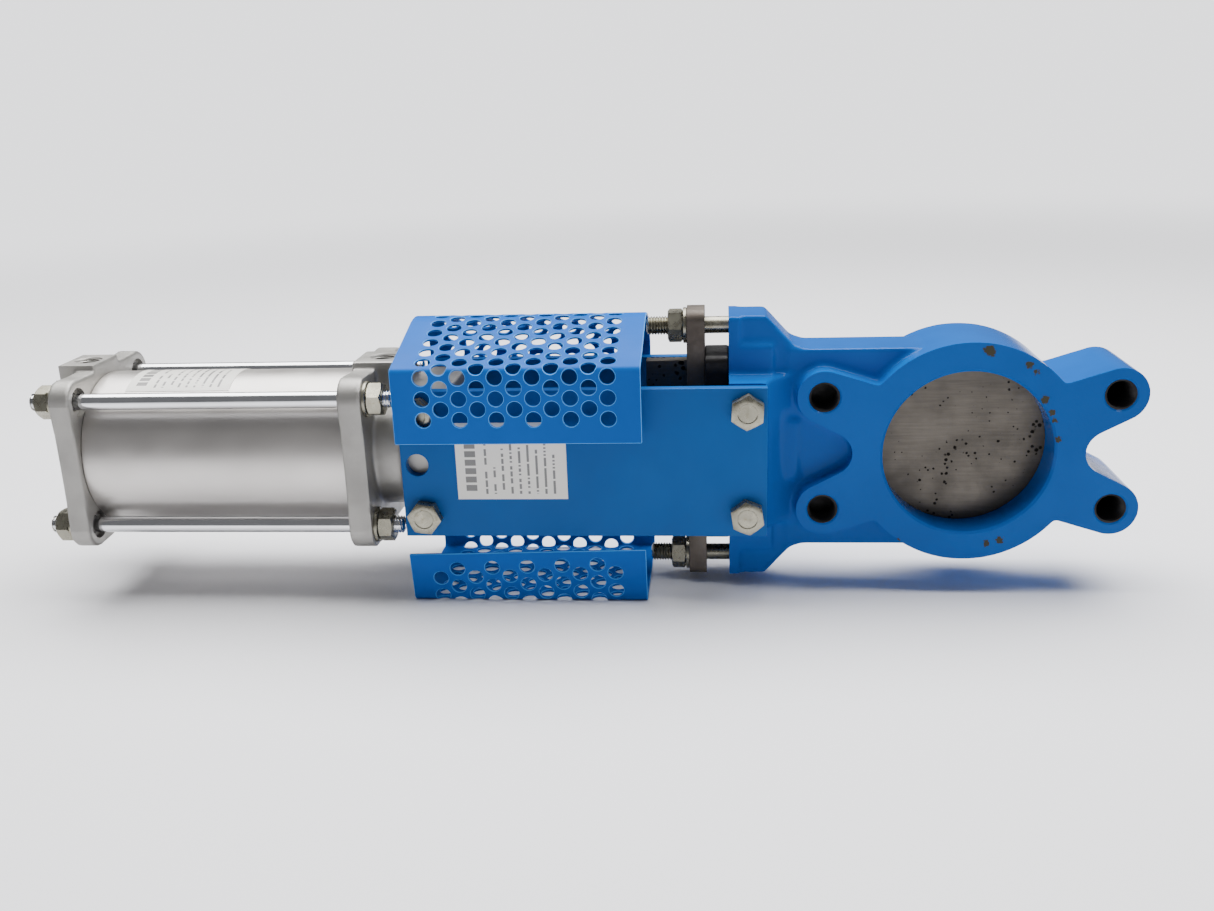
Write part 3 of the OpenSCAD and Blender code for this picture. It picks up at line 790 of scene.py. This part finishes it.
def body_masses(s):
    """Overlapping solids of the casting, a little longer where a face is machined."""
    low, high = node_box("valve_body")
    start, step, half = low.x - SPARE, low.x + 19, high.z
    face, tip, root = mm(s.face) + SPARE, mm(s.lug_tip), mm(s.lug_root)
    neck, thick, circle = mm(s.neck_half), mm(s.neck_thick), mm(s.lug_circle)
    through = moved(0, face) @ ALONG_Y
    bm = bmesh.new()
    add_bar(bm, ALONG_Y, mm(s.ring_radius), -face, face, steps=96)
    for x, z in lug_places(s):
        arm = [(46, -root), (circle, -tip), (circle, tip), (46, root)]
        add_prism(bm, arm, turned_about("Y", -atan2(z, x)) @ through, 2 * face)
        add_bar(bm, ALONG_Y, tip, -face, face, (x, z), steps=48)
    fillet, middle, reach = 11.7, 70.7, radians(62.5)
    arc = [(fillet * cos(a) - middle, fillet * sin(a)) for a in (reach * k / 8 for k in range(-8, 9))]
    for side in (-1, 1):
        web = [(-side * x, z) for x, z in [(-50, -14), *arc, (-50, 14)]]
        add_prism(bm, web, through, 2 * face)
    slope = [(start, half), (step, half), (step + 14, neck + 2.5), (step + 21, neck)]
    add_prism(bm, slope + [(x, -z) for x, z in reversed(slope)], moved(0, 14) @ ALONG_Y, 28)
    foot = step + 0.4
    arc = [(foot + SWEEP - SWEEP * cos(a), PAD_FACE - SWEEP * sin(a)) for a in (k * pi / 16 for k in range(9))]
    pad = [(start, 0), (start, PAD_FACE + SPARE), (foot, PAD_FACE + SPARE), *arc, (foot + SWEEP, 0)]
    for side in (-1, 1):
        add_prism(bm, [(x, side * y) for x, y in pad], moved(0, 0, -PAD_HALF), 2 * PAD_HALF)
    for x0, x1, y, z in (
        (step + 12, 0, thick, neck), (start, step + 4, 16.5, 57), (start, low.x + 5.5, 16.5, half),
        (step + 8, step + 17.5, thick + 2.2, 16),
    ):
        add_box(bm, (x0, -y, -z), (x1, y, z))
    return bm


def block(*boxes):
    """Boxes given as (x from, x to, half y, half z)."""
    bm = bmesh.new()
    for x0, x1, y, z in boxes:
        add_box(bm, (x0, -y, -z), (x1, y, z))
    return bm


def screw_holes(node):
    """Plain holes for the screws of a yoke node, from both sides."""
    bm = bmesh.new()
    for place in yoke_bolt_places(node):
        for start in (16, -40):
            add_bar(bm, ALONG_Y, SCREW_HOLE, start, start + 24, place, steps=32)
    return bm


def body_cutters(s):
    """Machined faces, port, gate cavity, packing pocket and screw holes."""
    gland, face, port = node_box("valve_body")[0].x, mm(s.face), mm(s.port_radius)
    split, over, lead = gland + 28, face + 2, 1.2
    trims = bmesh.new()
    for side in (-1, 1):
        for x0, x1, y in ((split + 1, 2 * CLEAR, face), (gland - 20, split, PAD_FACE)):
            y0, y1 = sorted((side * y, side * CLEAR))
            add_box(trims, (x0, y0, -2 * CLEAR), (x1, y1, 2 * CLEAR))
    bore = turned([
        (over, 0), (over, port + over - face + lead), (face - lead, port), (GATE_HALF, port),
        (GATE_HALF, SEAL_SEAT), (0, SEAL_SEAT), (0, 48), (-10, 48), (-10, 46), (-over, 46), (-over, 0),
    ], ALONG_Y, 128)
    holes = screw_holes("yoke_body_bolts")
    thread, mouth = mm(s.thread_radius), 0.8
    wide = thread + mouth + over - face
    for place, foot in lug_hole_places(s):
        blind, through = [(foot - 3.5, 0), (foot, thread)], [(-over, 0), (-over, wide), (mouth - face, thread)]
        wall = [(face - mouth, thread), (over, wide), (over, 0)]
        add_turned(holes, (blind if foot > 0 else through) + wall, place, 40)
    for side in (-1, 1):
        add_bar(holes, ALONG_X, SCREW_HOLE, gland - 5, gland + 18, (0, side * stud_height()), steps=32)
    return [
        trims, block((gland - CLEAR, gland, CLEAR + 5, 2 * CLEAR + 5)), bore,
        block((gland + 26, 0, GATE_HALF, SEAL_SEAT)), block((gland - 3, gland + 28, 12, 51)), holes,
    ]


class VALVE_OT_casting(bpy.types.Operator):
    """Make the iron body with its ring, lugs, neck and gland flange"""
    bl_idname = "valve.casting"
    bl_label = "Body casting"

    def execute(self, context):
        s = context.scene.valve_casting
        made = cast_solid("body_casting", body_masses(s), s.skin, s.rounding)
        carve(made, body_cutters(s))
        show(made, "body_enamel", ["valve_body"], 42)
        threads = bmesh.new()
        top, radius = mm(s.face) - 0.8, mm(s.thread_radius)
        for place, foot in lug_hole_places(s):
            add_thread(threads, place, radius - 0.05, max(foot, -top), top, 2.0, 1.1, radius + 0.7)
            # Each blind hole gets a near-black cap at its foot. The cap is painted shade that hides the enamel at
            # the bottom of the hole.
            if foot > 0:
                add_bar(threads, place, radius - 1, foot - 0.5, foot + 0.5, steps=36)
        piece("lug_threads", threads, "dark_metal")
        return {"FINISHED"}


# Pieces whose CAD shape only needs its edges broken, as (node, name, finish, width of the broken edges)

GATE_COPIES = (("gate_blade", "blade", "gate_steel", 0.5),)
GLAND_COPIES = (
    ("gland_flange", "gland_bar", "gland_metal", 0.9), ("gland_bush", "follower", "dark_metal", 0.7),
)
PLATE_COPIES = (
    ("yoke_plate_front", "side_plate_front", "plate_paint", 0.45),
    ("yoke_plate_back", "side_plate_back", "plate_paint", 0.45),
)
STEM_COPIES = (
    ("gate_clevis", "clevis_block", "gland_metal", 0.8), ("clevis_pin", "pin", "fastener_zinc", 0.4),
    ("rod_lock_nut", "lock_nut", "fastener_zinc", 0.6), ("piston_rod", "chromed_rod", "rod_chrome", 0.5),
)


def copy_pieces(copies, body):
    for node, name, slot, width in copies:
        piece(name, softened_copy(node, width), slot, [node], 18, body)
    return {"FINISHED"}


class VALVE_OT_gate(bpy.types.Operator):
    """Make the gate blade with its broken edges"""
    bl_idname = "valve.gate"
    bl_label = "Gate blade"

    def execute(self, context):
        return copy_pieces(GATE_COPIES, MOVING)


class VALVE_OT_gland(bpy.types.Operator):
    """Make the packing follower and the bar that presses on it"""
    bl_idname = "valve.gland"
    bl_label = "Gland"

    def execute(self, context):
        return copy_pieces(GLAND_COPIES, FIXED)


class VALVE_OT_plates(bpy.types.Operator):
    """Make the two yoke plates"""
    bl_idname = "valve.plates"
    bl_label = "Yoke plates"

    def execute(self, context):
        return copy_pieces(PLATE_COPIES, FIXED)


class VALVE_OT_stem(bpy.types.Operator):
    """Make the piston rod, its lock nut, the clevis and the clevis pin"""
    bl_idname = "valve.stem"
    bl_label = "Stem"

    def execute(self, context):
        return copy_pieces(STEM_COPIES, MOVING)


# Fasteners

TIE_RADIUS = 4.45


class VALVE_OT_fasteners(bpy.types.Operator):
    """Make the yoke bolts, gland studs, nuts and washers with cut threads"""
    bl_idname = "valve.fasteners"
    bl_label = "Fasteners"

    def execute(self, context):
        s = context.scene.valve_fasteners
        self.across, self.screw = mm(s.across), (mm(s.pitch), mm(s.depth))
        self.bolts("yoke_body_bolts", "body_bolts", mm(s.head), (8, -3, 14, 40))
        self.bolts("yoke_head_bolts", "head_bolts", mm(s.head), (22, -14, 5, 31))
        self.studs()
        self.tie_rods(mm(s.nut))
        return {"FINISHED"}

    def bolts(self, node, name, head, turns):
        low, high = node_box(node)
        bm = bmesh.new()
        places = [(x, z, side) for side in (-1, 1) for x, z in yoke_bolt_places(node)]
        for (x, z, side), turn in zip(places, turns):
            seat = high.y - head if side > 0 else low.y + head
            facing = turned_about("Z", pi if side > 0 else 0) @ ALONG_Y @ turned_about("Z", radians(30 + turn))
            place = moved(x, seat, z) @ facing
            add_hexagon(bm, place, self.across, head, both_ends=False, dimple=0.35)
            add_bar(bm, place, 0.475 * self.across, -0.3, 0.2)
            add_thread(bm, place, 4.95, -17, -0.2, *self.screw, point=0.6)
        bmesh.ops.remove_doubles(bm, verts=bm.verts[:], dist=TOUCH)
        piece(name, bm, "fastener_zinc", [node])

    def nut(self, bm, place, foot, turn, height, bore):
        place = place @ moved(0, 0, foot) @ turned_about("Z", radians(turn))
        add_hexagon(bm, place, self.across, height, bore)

    def studs(self):
        (low, high), (nut_low, nut_high) = node_box("gland_studs"), node_box("gland_nuts")
        washer_low, washer_high = node_box("gland_washers")
        shank = nut_high.x + 1
        rods, nuts, washers = bmesh.new(), bmesh.new(), bmesh.new()
        for side, turn in ((-1, 17), (1, 3)):
            place = moved(0, 0, side * stud_height()) @ ALONG_X
            add_thread(rods, place, STUD_RADIUS, low.x + 0.8, shank, *self.screw, point=0.8)
            add_turned(rods, rod_profile(shank - 1, high.x, 4.5), place, 48)
            self.nut(nuts, place, nut_low.x, turn, nut_high.x - nut_low.x, 5.05)
            add_washer(washers, place, 5.3, washer_low.x, washer_high.x)
        piece("studs", rods, "fastener_zinc", ["gland_studs"])
        piece("stud_nuts", nuts, "fastener_zinc", ["gland_nuts"])
        piece("stud_washers", washers, "fastener_zinc", ["gland_washers"])

    def tie_rods(self, height):
        (low, high), (nut_low, nut_high) = node_box("tie_rods"), node_box("tie_rod_nuts")
        washer_low, washer_high = node_box("tie_rod_washers")
        thread, reach = 4.75, high.y - TIE_RADIUS
        start, end = washer_low.x + 3, washer_high.x - 3
        rods, nuts, washers = bmesh.new(), bmesh.new(), bmesh.new()
        for index, (y, z) in enumerate((y, z) for y in (-reach, reach) for z in (-reach, reach)):
            place = moved(0, y, z) @ ALONG_X
            add_turned(rods, rod_profile(start, end, TIE_RADIUS), place, 48)
            for side, (first, last, foot, washer) in enumerate((
                (low.x + 0.9, start + 1, nut_low.x, washer_low.x),
                (end - 1, high.x - 0.9, nut_high.x - height, washer_high.x - 2),
            )):
                add_thread(rods, place, thread, first, last, *self.screw, point=0.9)
                self.nut(nuts, place, foot, 17 * index + 23 * side, height, thread + 0.05)
                add_washer(washers, place, thread + 0.3, washer, washer + 1.95)
        piece("chromed_tie_rods", rods, "rod_chrome", ["tie_rods"])
        piece("rod_nuts", nuts, "fastener_zinc", ["tie_rod_nuts"])
        piece("rod_washers", washers, "fastener_zinc", ["tie_rod_washers"])


def rod_profile(start, end, radius):
    return [(start, 0), (start, radius), (end, radius), (end, 0)]


def add_washer(bm, place, inner, start, end, outer=9.5, cut=0.3):
    add_turned(bm, [
        (start, inner + cut), (start + cut, inner), (end - cut, inner), (end, inner + cut),
        (end, outer - cut), (end - cut, outer), (start + cut, outer), (start, outer - cut),
    ], place, 40, closed=True)


# Guards

UPPER_GUARD = {
    "line": ((-50, 14.5), (-50, 53.4), (24.5, 74), (40.75, 48), (40.75, 16)),
    "soft_corner": 2, "first": 13.0, "phase": 0, "skew": 0.0, "slant": 0.0,
}
LOWER_GUARD = {
    "line": ((-41.6, -46.8), (-36.5, -78), (40.75, -78), (40.75, -16)),
    "soft_corner": None, "first": 10.6, "phase": 1, "skew": 0.040, "slant": 3.2,
}


def bent_runs(line, radii):
    """Straight and round runs along a bent sheet, as (length, start, heading, curvature)."""
    points = [Vector(point) for point in line]
    start, runs = points[0], []
    for index, end in enumerate(points[1:], 1):
        way = (end - points[index - 1]).normalized()
        heading = atan2(way.y, way.x)
        if index == len(points) - 1:
            runs.append(((end - start).length, start, heading, 0.0))
            return runs
        following = (points[index + 1] - end).normalized()
        turn = atan2(way.cross(following), way.dot(following))
        tangent = radii[index] * tan(abs(turn) / 2)
        bend = end - way * tangent
        runs.append(((bend - start).length, start, heading, 0.0))
        runs.append((radii[index] * abs(turn), bend, heading, turn / abs(turn) / radii[index]))
        start = end + following * tangent


def along(runs, distance):
    """Point and heading at a distance along the runs."""
    for run in runs:
        size, start, heading, bend = run
        if distance <= size or run == runs[-1]:
            break
        distance -= size
    if not bend:
        return start + Vector((cos(heading), sin(heading))) * distance, heading
    final = heading + bend * distance
    return start + Vector((sin(final) - sin(heading), cos(heading) - cos(final))) / bend, final


def guard_blank(s, shape, runs, low, size, bolt):
    """The flat perforated sheet, x along the stem and y along the unbent sheet."""
    whole = sum(run[0] for run in runs)
    pitch, hole = mm(s.guard_pitch), mm(s.guard_hole)
    margin = hole + 1.5
    holes = []
    for column in range(s.columns):
        x = mm(s.first_column) + column * pitch * cos(pi / 6)
        shift = ((column + shape["phase"]) % 2) * pitch / 2
        for row in range(ceil(whole / pitch)):
            y = shape["first"] + shift + row * pitch - shape["skew"] * (x - size / 2)
            spot = along(runs, y)[0]
            near_bolt = spot.x > 35 and hypot(low + x - bolt[0], spot.y - bolt[1]) < 15
            if margin < y < whole - margin and not near_bolt:
                holes.append((x, y, hole))
    heights = [y / 4 for y in range(int(4 * (whole - 40)), int(4 * whole))]
    bolt_y = min(heights, key=lambda y: abs(along(runs, y)[0].y - bolt[1]))
    outline = [(0, shape["slant"]), (size, 0), (size, whole), (0, whole)]
    bm = blank(outline, holes + [(bolt[0] - low, bolt_y, 5.5)], mm(s.guard_thick), 0.42)
    # Flags the chamfer faces, which the guard's finish paints with a rim highlight.
    rim = bm.faces.layers.float.new("rim")
    for face in bm.faces:
        face[rim] = float(0.3 < abs(face.normal.z) < 0.95)
    return bm


def make_guard(s, node, name, shape, bolt):
    low, high = node_box(node)
    radii = [mm(s.fold_radius)] * len(shape["line"])
    if shape["soft_corner"]:
        radii[shape["soft_corner"]] = mm(s.crest_radius)
    runs = bent_runs(shape["line"], radii)
    bm = guard_blank(s, shape, runs, low.x, high.x - low.x, bolt)
    done = 0
    for size, start, heading, bend in runs:
        strips = max(1, ceil(size * abs(bend) / radians(9)))
        for strip in range(strips + 1):
            bmesh.ops.bisect_plane(
                bm, geom=bm.verts[:] + bm.edges[:] + bm.faces[:], dist=TOUCH,
                plane_co=(0, done + size * strip / strips, 0), plane_no=(0, 1, 0)
            )
        done += size
    for vert in bm.verts:
        spot, heading = along(runs, vert.co.y)
        side = Vector((-sin(heading), cos(heading))) * (vert.co.z - mm(s.guard_thick) / 2)
        vert.co = (low.x + vert.co.x, *(spot + side))
    bmesh.ops.recalc_face_normals(bm, faces=bm.faces[:])
    piece(name, bm, "guard_paint", [node], 28)


class VALVE_OT_guards(bpy.types.Operator):
    """Bend the two perforated guards"""
    bl_idname = "valve.guards"
    bl_label = "Guards"

    def execute(self, context):
        s = context.scene.valve_sheet
        lower_bolt, upper_bolt = yoke_bolt_places("yoke_head_bolts")
        make_guard(s, "guard_upper", "top_guard", UPPER_GUARD, upper_bolt)
        make_guard(s, "guard_lower", "bottom_guard", LOWER_GUARD, lower_bolt)
        return {"FINISHED"}


# Cylinder

HEAD_HALF = 47      # half the side of a cast head
BLOCK_HALF = 14     # half the width of the block round an air port
TIE_SEAT = 7.6      # radius of the recess round a tie rod
AIR_RADIUS = 6.6    # of the screwed air port
BORE = 40           # radius of the barrel's bore
SPIGOT = 39.8       # radius of the step on a head that enters the bore


def head_outline(ear=12, sag=1.5, steps=10):
    """A square with round ears at its corners and sides that bow inwards, as (y, z)."""
    straight = HEAD_HALF - ear
    points = []
    for quarter in range(4):
        side = []
        for step in range(steps + 1):
            bearing = step / steps * pi / 2
            side.append((straight + ear * cos(bearing), straight + ear * sin(bearing)))
        for step in range(1, steps):
            across = straight * (1 - 2 * step / steps)
            side.append((across, HEAD_HALF - sag * (1 - (across / straight) ** 2)))
        turn = Matrix.Rotation(quarter * pi / 2, 2)
        points += [tuple(turn @ Vector(point)) for point in side]
    return points


def head_cutters(rods, seat, outward, port_x, spigot_end):
    """Rod holes with a seat on the barrel side, the screwed air port and its way into the barrel."""
    holes, seats, way = bmesh.new(), bmesh.new(), bmesh.new()
    for centre in ((y, z) for y in (-rods, rods) for z in (-rods, rods)):
        add_bar(holes, ALONG_X, SCREW_HOLE, seat - 20, seat + 20, centre, steps=32)
        add_bar(seats, ALONG_X, TIE_SEAT, seat - 3, seat + 3, centre, steps=40)
    port = [(29, 0), (29, AIR_RADIUS), (49.2, AIR_RADIUS), (50, AIR_RADIUS + 0.8), (53, AIR_RADIUS + 3.8), (53, 0)]
    add_bar(way, ALONG_X, 3, *sorted((port_x, spigot_end - 2 * outward)), (0, 33), steps=24)
    return [holes, seats, turned(port, moved(port_x), 48), way]


class VALVE_OT_cylinder(bpy.types.Operator):
    """Make the barrel, both cast heads and their air port threads"""
    bl_idname = "valve.cylinder"
    bl_label = "Cylinder"

    def execute(self, context):
        low, high = node_box("cylinder_barrel")
        outer, cut = high.z, 0.5
        self.rods = node_box("tie_rods")[1].y - TIE_RADIUS
        barrel = turned([
            (low.x, BORE), (high.x, BORE), (high.x, outer - cut), (high.x - cut, outer),
            (low.x + cut, outer), (low.x, outer - cut),
        ], steps=160, closed=True)
        piece("barrel_tube", barrel, "barrel_steel", ["cylinder_barrel"])
        self.rear_head(low.x)
        self.front_head(high.x)
        return {"FINISHED"}

    def rear_head(self, seat):
        low, high = node_box("blind_end_head")
        back = node_box("tie_rod_washers")[0].x + 2
        bm = bmesh.new()
        for outline in (head_outline(), [(-34, 38), (34, 38), (22, 46.5), (-22, 46.5)]):
            add_prism(bm, outline, moved(back) @ ALONG_X, seat - back)
        add_box(bm, (low.x, -BLOCK_HALF, 30), (seat, BLOCK_HALF, high.z))
        made = cast_solid("rear_head", bm, 1.0 * MM, 2)
        carve(made, [turned(rod_profile(seat - 2, high.x, SPIGOT))], "UNION")
        recess = bmesh.new()
        add_bar(recess, ALONG_X, 16, high.x - 10.5, high.x + 3, steps=96)
        self.finish_head(made, "blind_end_head", [recess], seat, -1, low.x + 10.5, high.x, high.z)

    def front_head(self, seat):
        low, high = node_box("rod_end_head")
        face = node_box("tie_rod_washers")[1].x - 2
        step = high.x - 25
        bm = bmesh.new()
        add_prism(bm, head_outline(), moved(seat) @ ALONG_X, face - seat)
        add_box(bm, (seat, -BLOCK_HALF, 28), (step + 1, BLOCK_HALF, high.z))
        add_bar(bm, ALONG_X, 33, face - 2, step + 2, steps=96)
        add_box(bm, (step, -PAD_FACE - 0.3, -36), (high.x, PAD_FACE + 0.3, 36))
        made = cast_solid("front_head", bm, 1.05 * MM, 2)
        ring = [(low.x, 13.1), (low.x, SPIGOT), (seat + 2, SPIGOT), (seat + 2, 13.1)]
        carve(made, [turned(ring, closed=True)], "UNION")
        bore = turned([
            (low.x - 3, 0), (low.x - 3, 13), (-301.6, 13), (-301.6, 11), (high.x - 12, 11),
            (high.x - 12, 17), (high.x + 3, 17), (high.x + 3, 0),
        ], steps=72)
        tools = [bore, screw_holes("yoke_head_bolts")]
        self.finish_head(made, "rod_end_head", tools, seat, 1, seat + 14.2, low.x, high.z)

    def finish_head(self, made, node, tools, seat, outward, port_x, spigot_end, top):
        carve(made, tools + head_cutters(self.rods, seat, outward, port_x, spigot_end))
        show(made, "cast_head", [node], 45)
        bm = bmesh.new()
        add_thread(bm, moved(port_x), AIR_RADIUS - 0.05, top - 15, top - 0.8, 1.337, 0.8, AIR_RADIUS + 0.6)
        piece(made.name.replace("head", "port_thread"), bm, "cast_head")


# Labels

def label_sheet(width, height, bend, thick=0.2):
    """A thin sheet with its own map. Bend turns flat (x, y, z) into its place."""
    bm = bmesh.new()
    flat = Matrix.Diagonal((width, height, 1, 1)) @ moved(0.5, 0.5)
    bmesh.ops.create_grid(bm, x_segments=2, y_segments=24, size=0.5, matrix=flat)
    raised = bmesh.ops.extrude_face_region(bm, geom=bm.faces[:], use_keep_orig=True)["geom"]
    bmesh.ops.translate(bm, verts=verts_of(raised), vec=(0, 0, thick))
    chart = bm.loops.layers.uv.new("label")
    for face in bm.faces:
        for loop in face.loops:
            loop[chart].uv = (loop.vert.co.x / width, loop.vert.co.y / height)
    for vert in bm.verts:
        vert.co = bend(vert.co)
    bmesh.ops.recalc_face_normals(bm, faces=bm.faces[:])
    return bm


class VALVE_OT_labels(bpy.types.Operator):
    """Make the two labels, which carry plain bars and no lettering"""
    bl_idname = "valve.labels"
    bl_label = "Labels"

    def execute(self, context):
        low, high = node_box("data_label")
        size = high - low
        flat = label_sheet(size.x, size.z, lambda p: (low.x + p.x, high.y - p.z, low.z + p.y))
        piece("plate_label", flat, "label_paper", ["data_label"])
        left, right = (corner.x for corner in node_box("cylinder_label"))
        radius, front, sweep = node_box("cylinder_barrel")[1].z + 0.03, radians(30), radians(56)

        def wrap(p):
            bearing = front - p.y / radius
            return left + p.x, -(radius + p.z) * sin(bearing), (radius + p.z) * cos(bearing)

        piece("barrel_label", label_sheet(right - left, radius * sweep, wrap), "label_paper", ["cylinder_label"])
        return {"FINISHED"}


# CAD pieces that keep their own mesh

class VALVE_OT_inner_pieces(bpy.types.Operator):
    """Give every remaining CAD piece the finish of its slot"""
    bl_idname = "valve.inner_pieces"
    bl_label = "Inner pieces"

    def execute(self, context):
        slots = {part["node"]: part["material_slot"] for part in frame["record"]["subparts"]}
        for node, made in frame["nodes"].items():
            made.data.materials.clear()
            made.data.materials.append(finish_of(slots[node]))
        return {"FINISHED"}


# Stage

SKY = (0.95, 0.955, 0.985)
GLOW = 2.1           # of the sky, as the camera sees it


def make_floor(rest, glow):
    """A pale floor. Far from the piece the camera sees it in the even tone of the sky."""
    bm = bmesh.new()
    bmesh.ops.create_grid(bm, x_segments=1, y_segments=1, size=8, matrix=moved(0, 0, rest))
    floor = mesh_object("floor", bm, 1)
    material, tree = new_material("pale_card")
    far = tree.ramp(tree.vector("LENGTH", tree.place())["Value"], 0.6, 2.2)
    seen = tree.add("LightPath").outputs["Is Camera Ray"]
    card = tree.add("BsdfPrincipled", {"Base Color": (0.86, 0.86, 0.885, 1), "Roughness": 0.6})
    even = tree.add("Emission", {"Color": (*SKY, 1), "Strength": glow})
    surfaces = {0: tree.times(far, seen), 1: card.outputs["BSDF"], 2: even.outputs["Emission"]}
    blend = tree.add("MixShader", surfaces)
    tree.add("OutputMaterial", {"Surface": blend.outputs["Shader"]})
    floor.data.materials.append(material)


class VALVE_OT_stage(bpy.types.Operator):
    """Set the floor, the soft light and the camera"""
    bl_idname = "valve.stage"
    bl_label = "Stage"

    def execute(self, context):
        s = context.scene.valve_stage
        make_floor(CAD_BOX[0][2], GLOW)
        light = bpy.data.lights.new("overhead", "AREA")
        light.shape, light.size, light.size_y, light.energy = "RECTANGLE", 2.4, 1.4, 92
        lamp = add_object("overhead", light)
        lamp.location = (-0.15, 0.35, 1.3)
        lamp.rotation_euler = (Vector((-0.2, 0, 0)) - lamp.location).to_track_quat("-Z", "Y").to_euler()
        world = context.scene.world = bpy.data.worlds.new("studio")
        world.use_nodes = True
        sky, tree = world.node_tree.nodes["Background"], Tree(world.node_tree)
        sky.inputs["Color"].default_value = (*SKY, 1)
        seen = tree.add("LightPath").outputs["Is Camera Ray"]
        tree.feed(sky.inputs["Strength"], tree.ramp(seen, 0.0, 1.0, 0.20, GLOW))
        data = bpy.data.cameras.new("camera")
        data.lens, data.sensor_width, data.clip_start = s.lens, 36, 0.01
        camera = context.scene.camera = add_object("camera", data)
        forward = Vector((sin(s.turn) * cos(s.dip), cos(s.turn) * cos(s.dip), -sin(s.dip)))
        level = Vector((cos(s.turn), -sin(s.turn), 0))
        down = forward.cross(level)
        right = level * cos(s.roll) + down * sin(s.roll)
        up = level * sin(s.roll) - down * cos(s.roll)
        camera.matrix_world = Matrix.Translation(s.place) @ Matrix((right, up, -forward)).transposed().to_4x4()
        return {"FINISHED"}


STEPS = (
    VALVE_OT_stage, VALVE_OT_casting, VALVE_OT_gate, VALVE_OT_gland, VALVE_OT_fasteners, VALVE_OT_plates,
    VALVE_OT_guards, VALVE_OT_cylinder, VALVE_OT_stem, VALVE_OT_labels, VALVE_OT_inner_pieces,
)


class VALVE_PT_panel(bpy.types.Panel):
    """Lists the steps that make the valve"""
    bl_label = "Knife gate valve"
    bl_idname = "VALVE_PT_panel"
    bl_space_type = "VIEW_3D"
    bl_region_type = "UI"
    bl_category = "Valve"

    def draw(self, context):
        for step in STEPS:
            self.layout.operator(step.bl_idname)
        for name, group in SETTINGS.items():
            box = self.layout.box()
            for key in group.__annotations__:
                box.prop(getattr(context.scene, name), key)


def register():
    for name, group in SETTINGS.items():
        bpy.utils.register_class(group)
        setattr(bpy.types.Scene, name, bpy.props.PointerProperty(type=group))
    for cls in (*STEPS, VALVE_PT_panel):
        bpy.utils.register_class(cls)


def unregister():
    for cls in (VALVE_PT_panel, *reversed(STEPS)):
        bpy.utils.unregister_class(cls)
    for name, group in SETTINGS.items():
        delattr(bpy.types.Scene, name)
        bpy.utils.unregister_class(group)


def main():
    register()
    for step in STEPS:
        family, name = step.bl_idname.split(".")
        getattr(getattr(bpy.ops, family), name)()


if __name__ == "__main__":
    main()
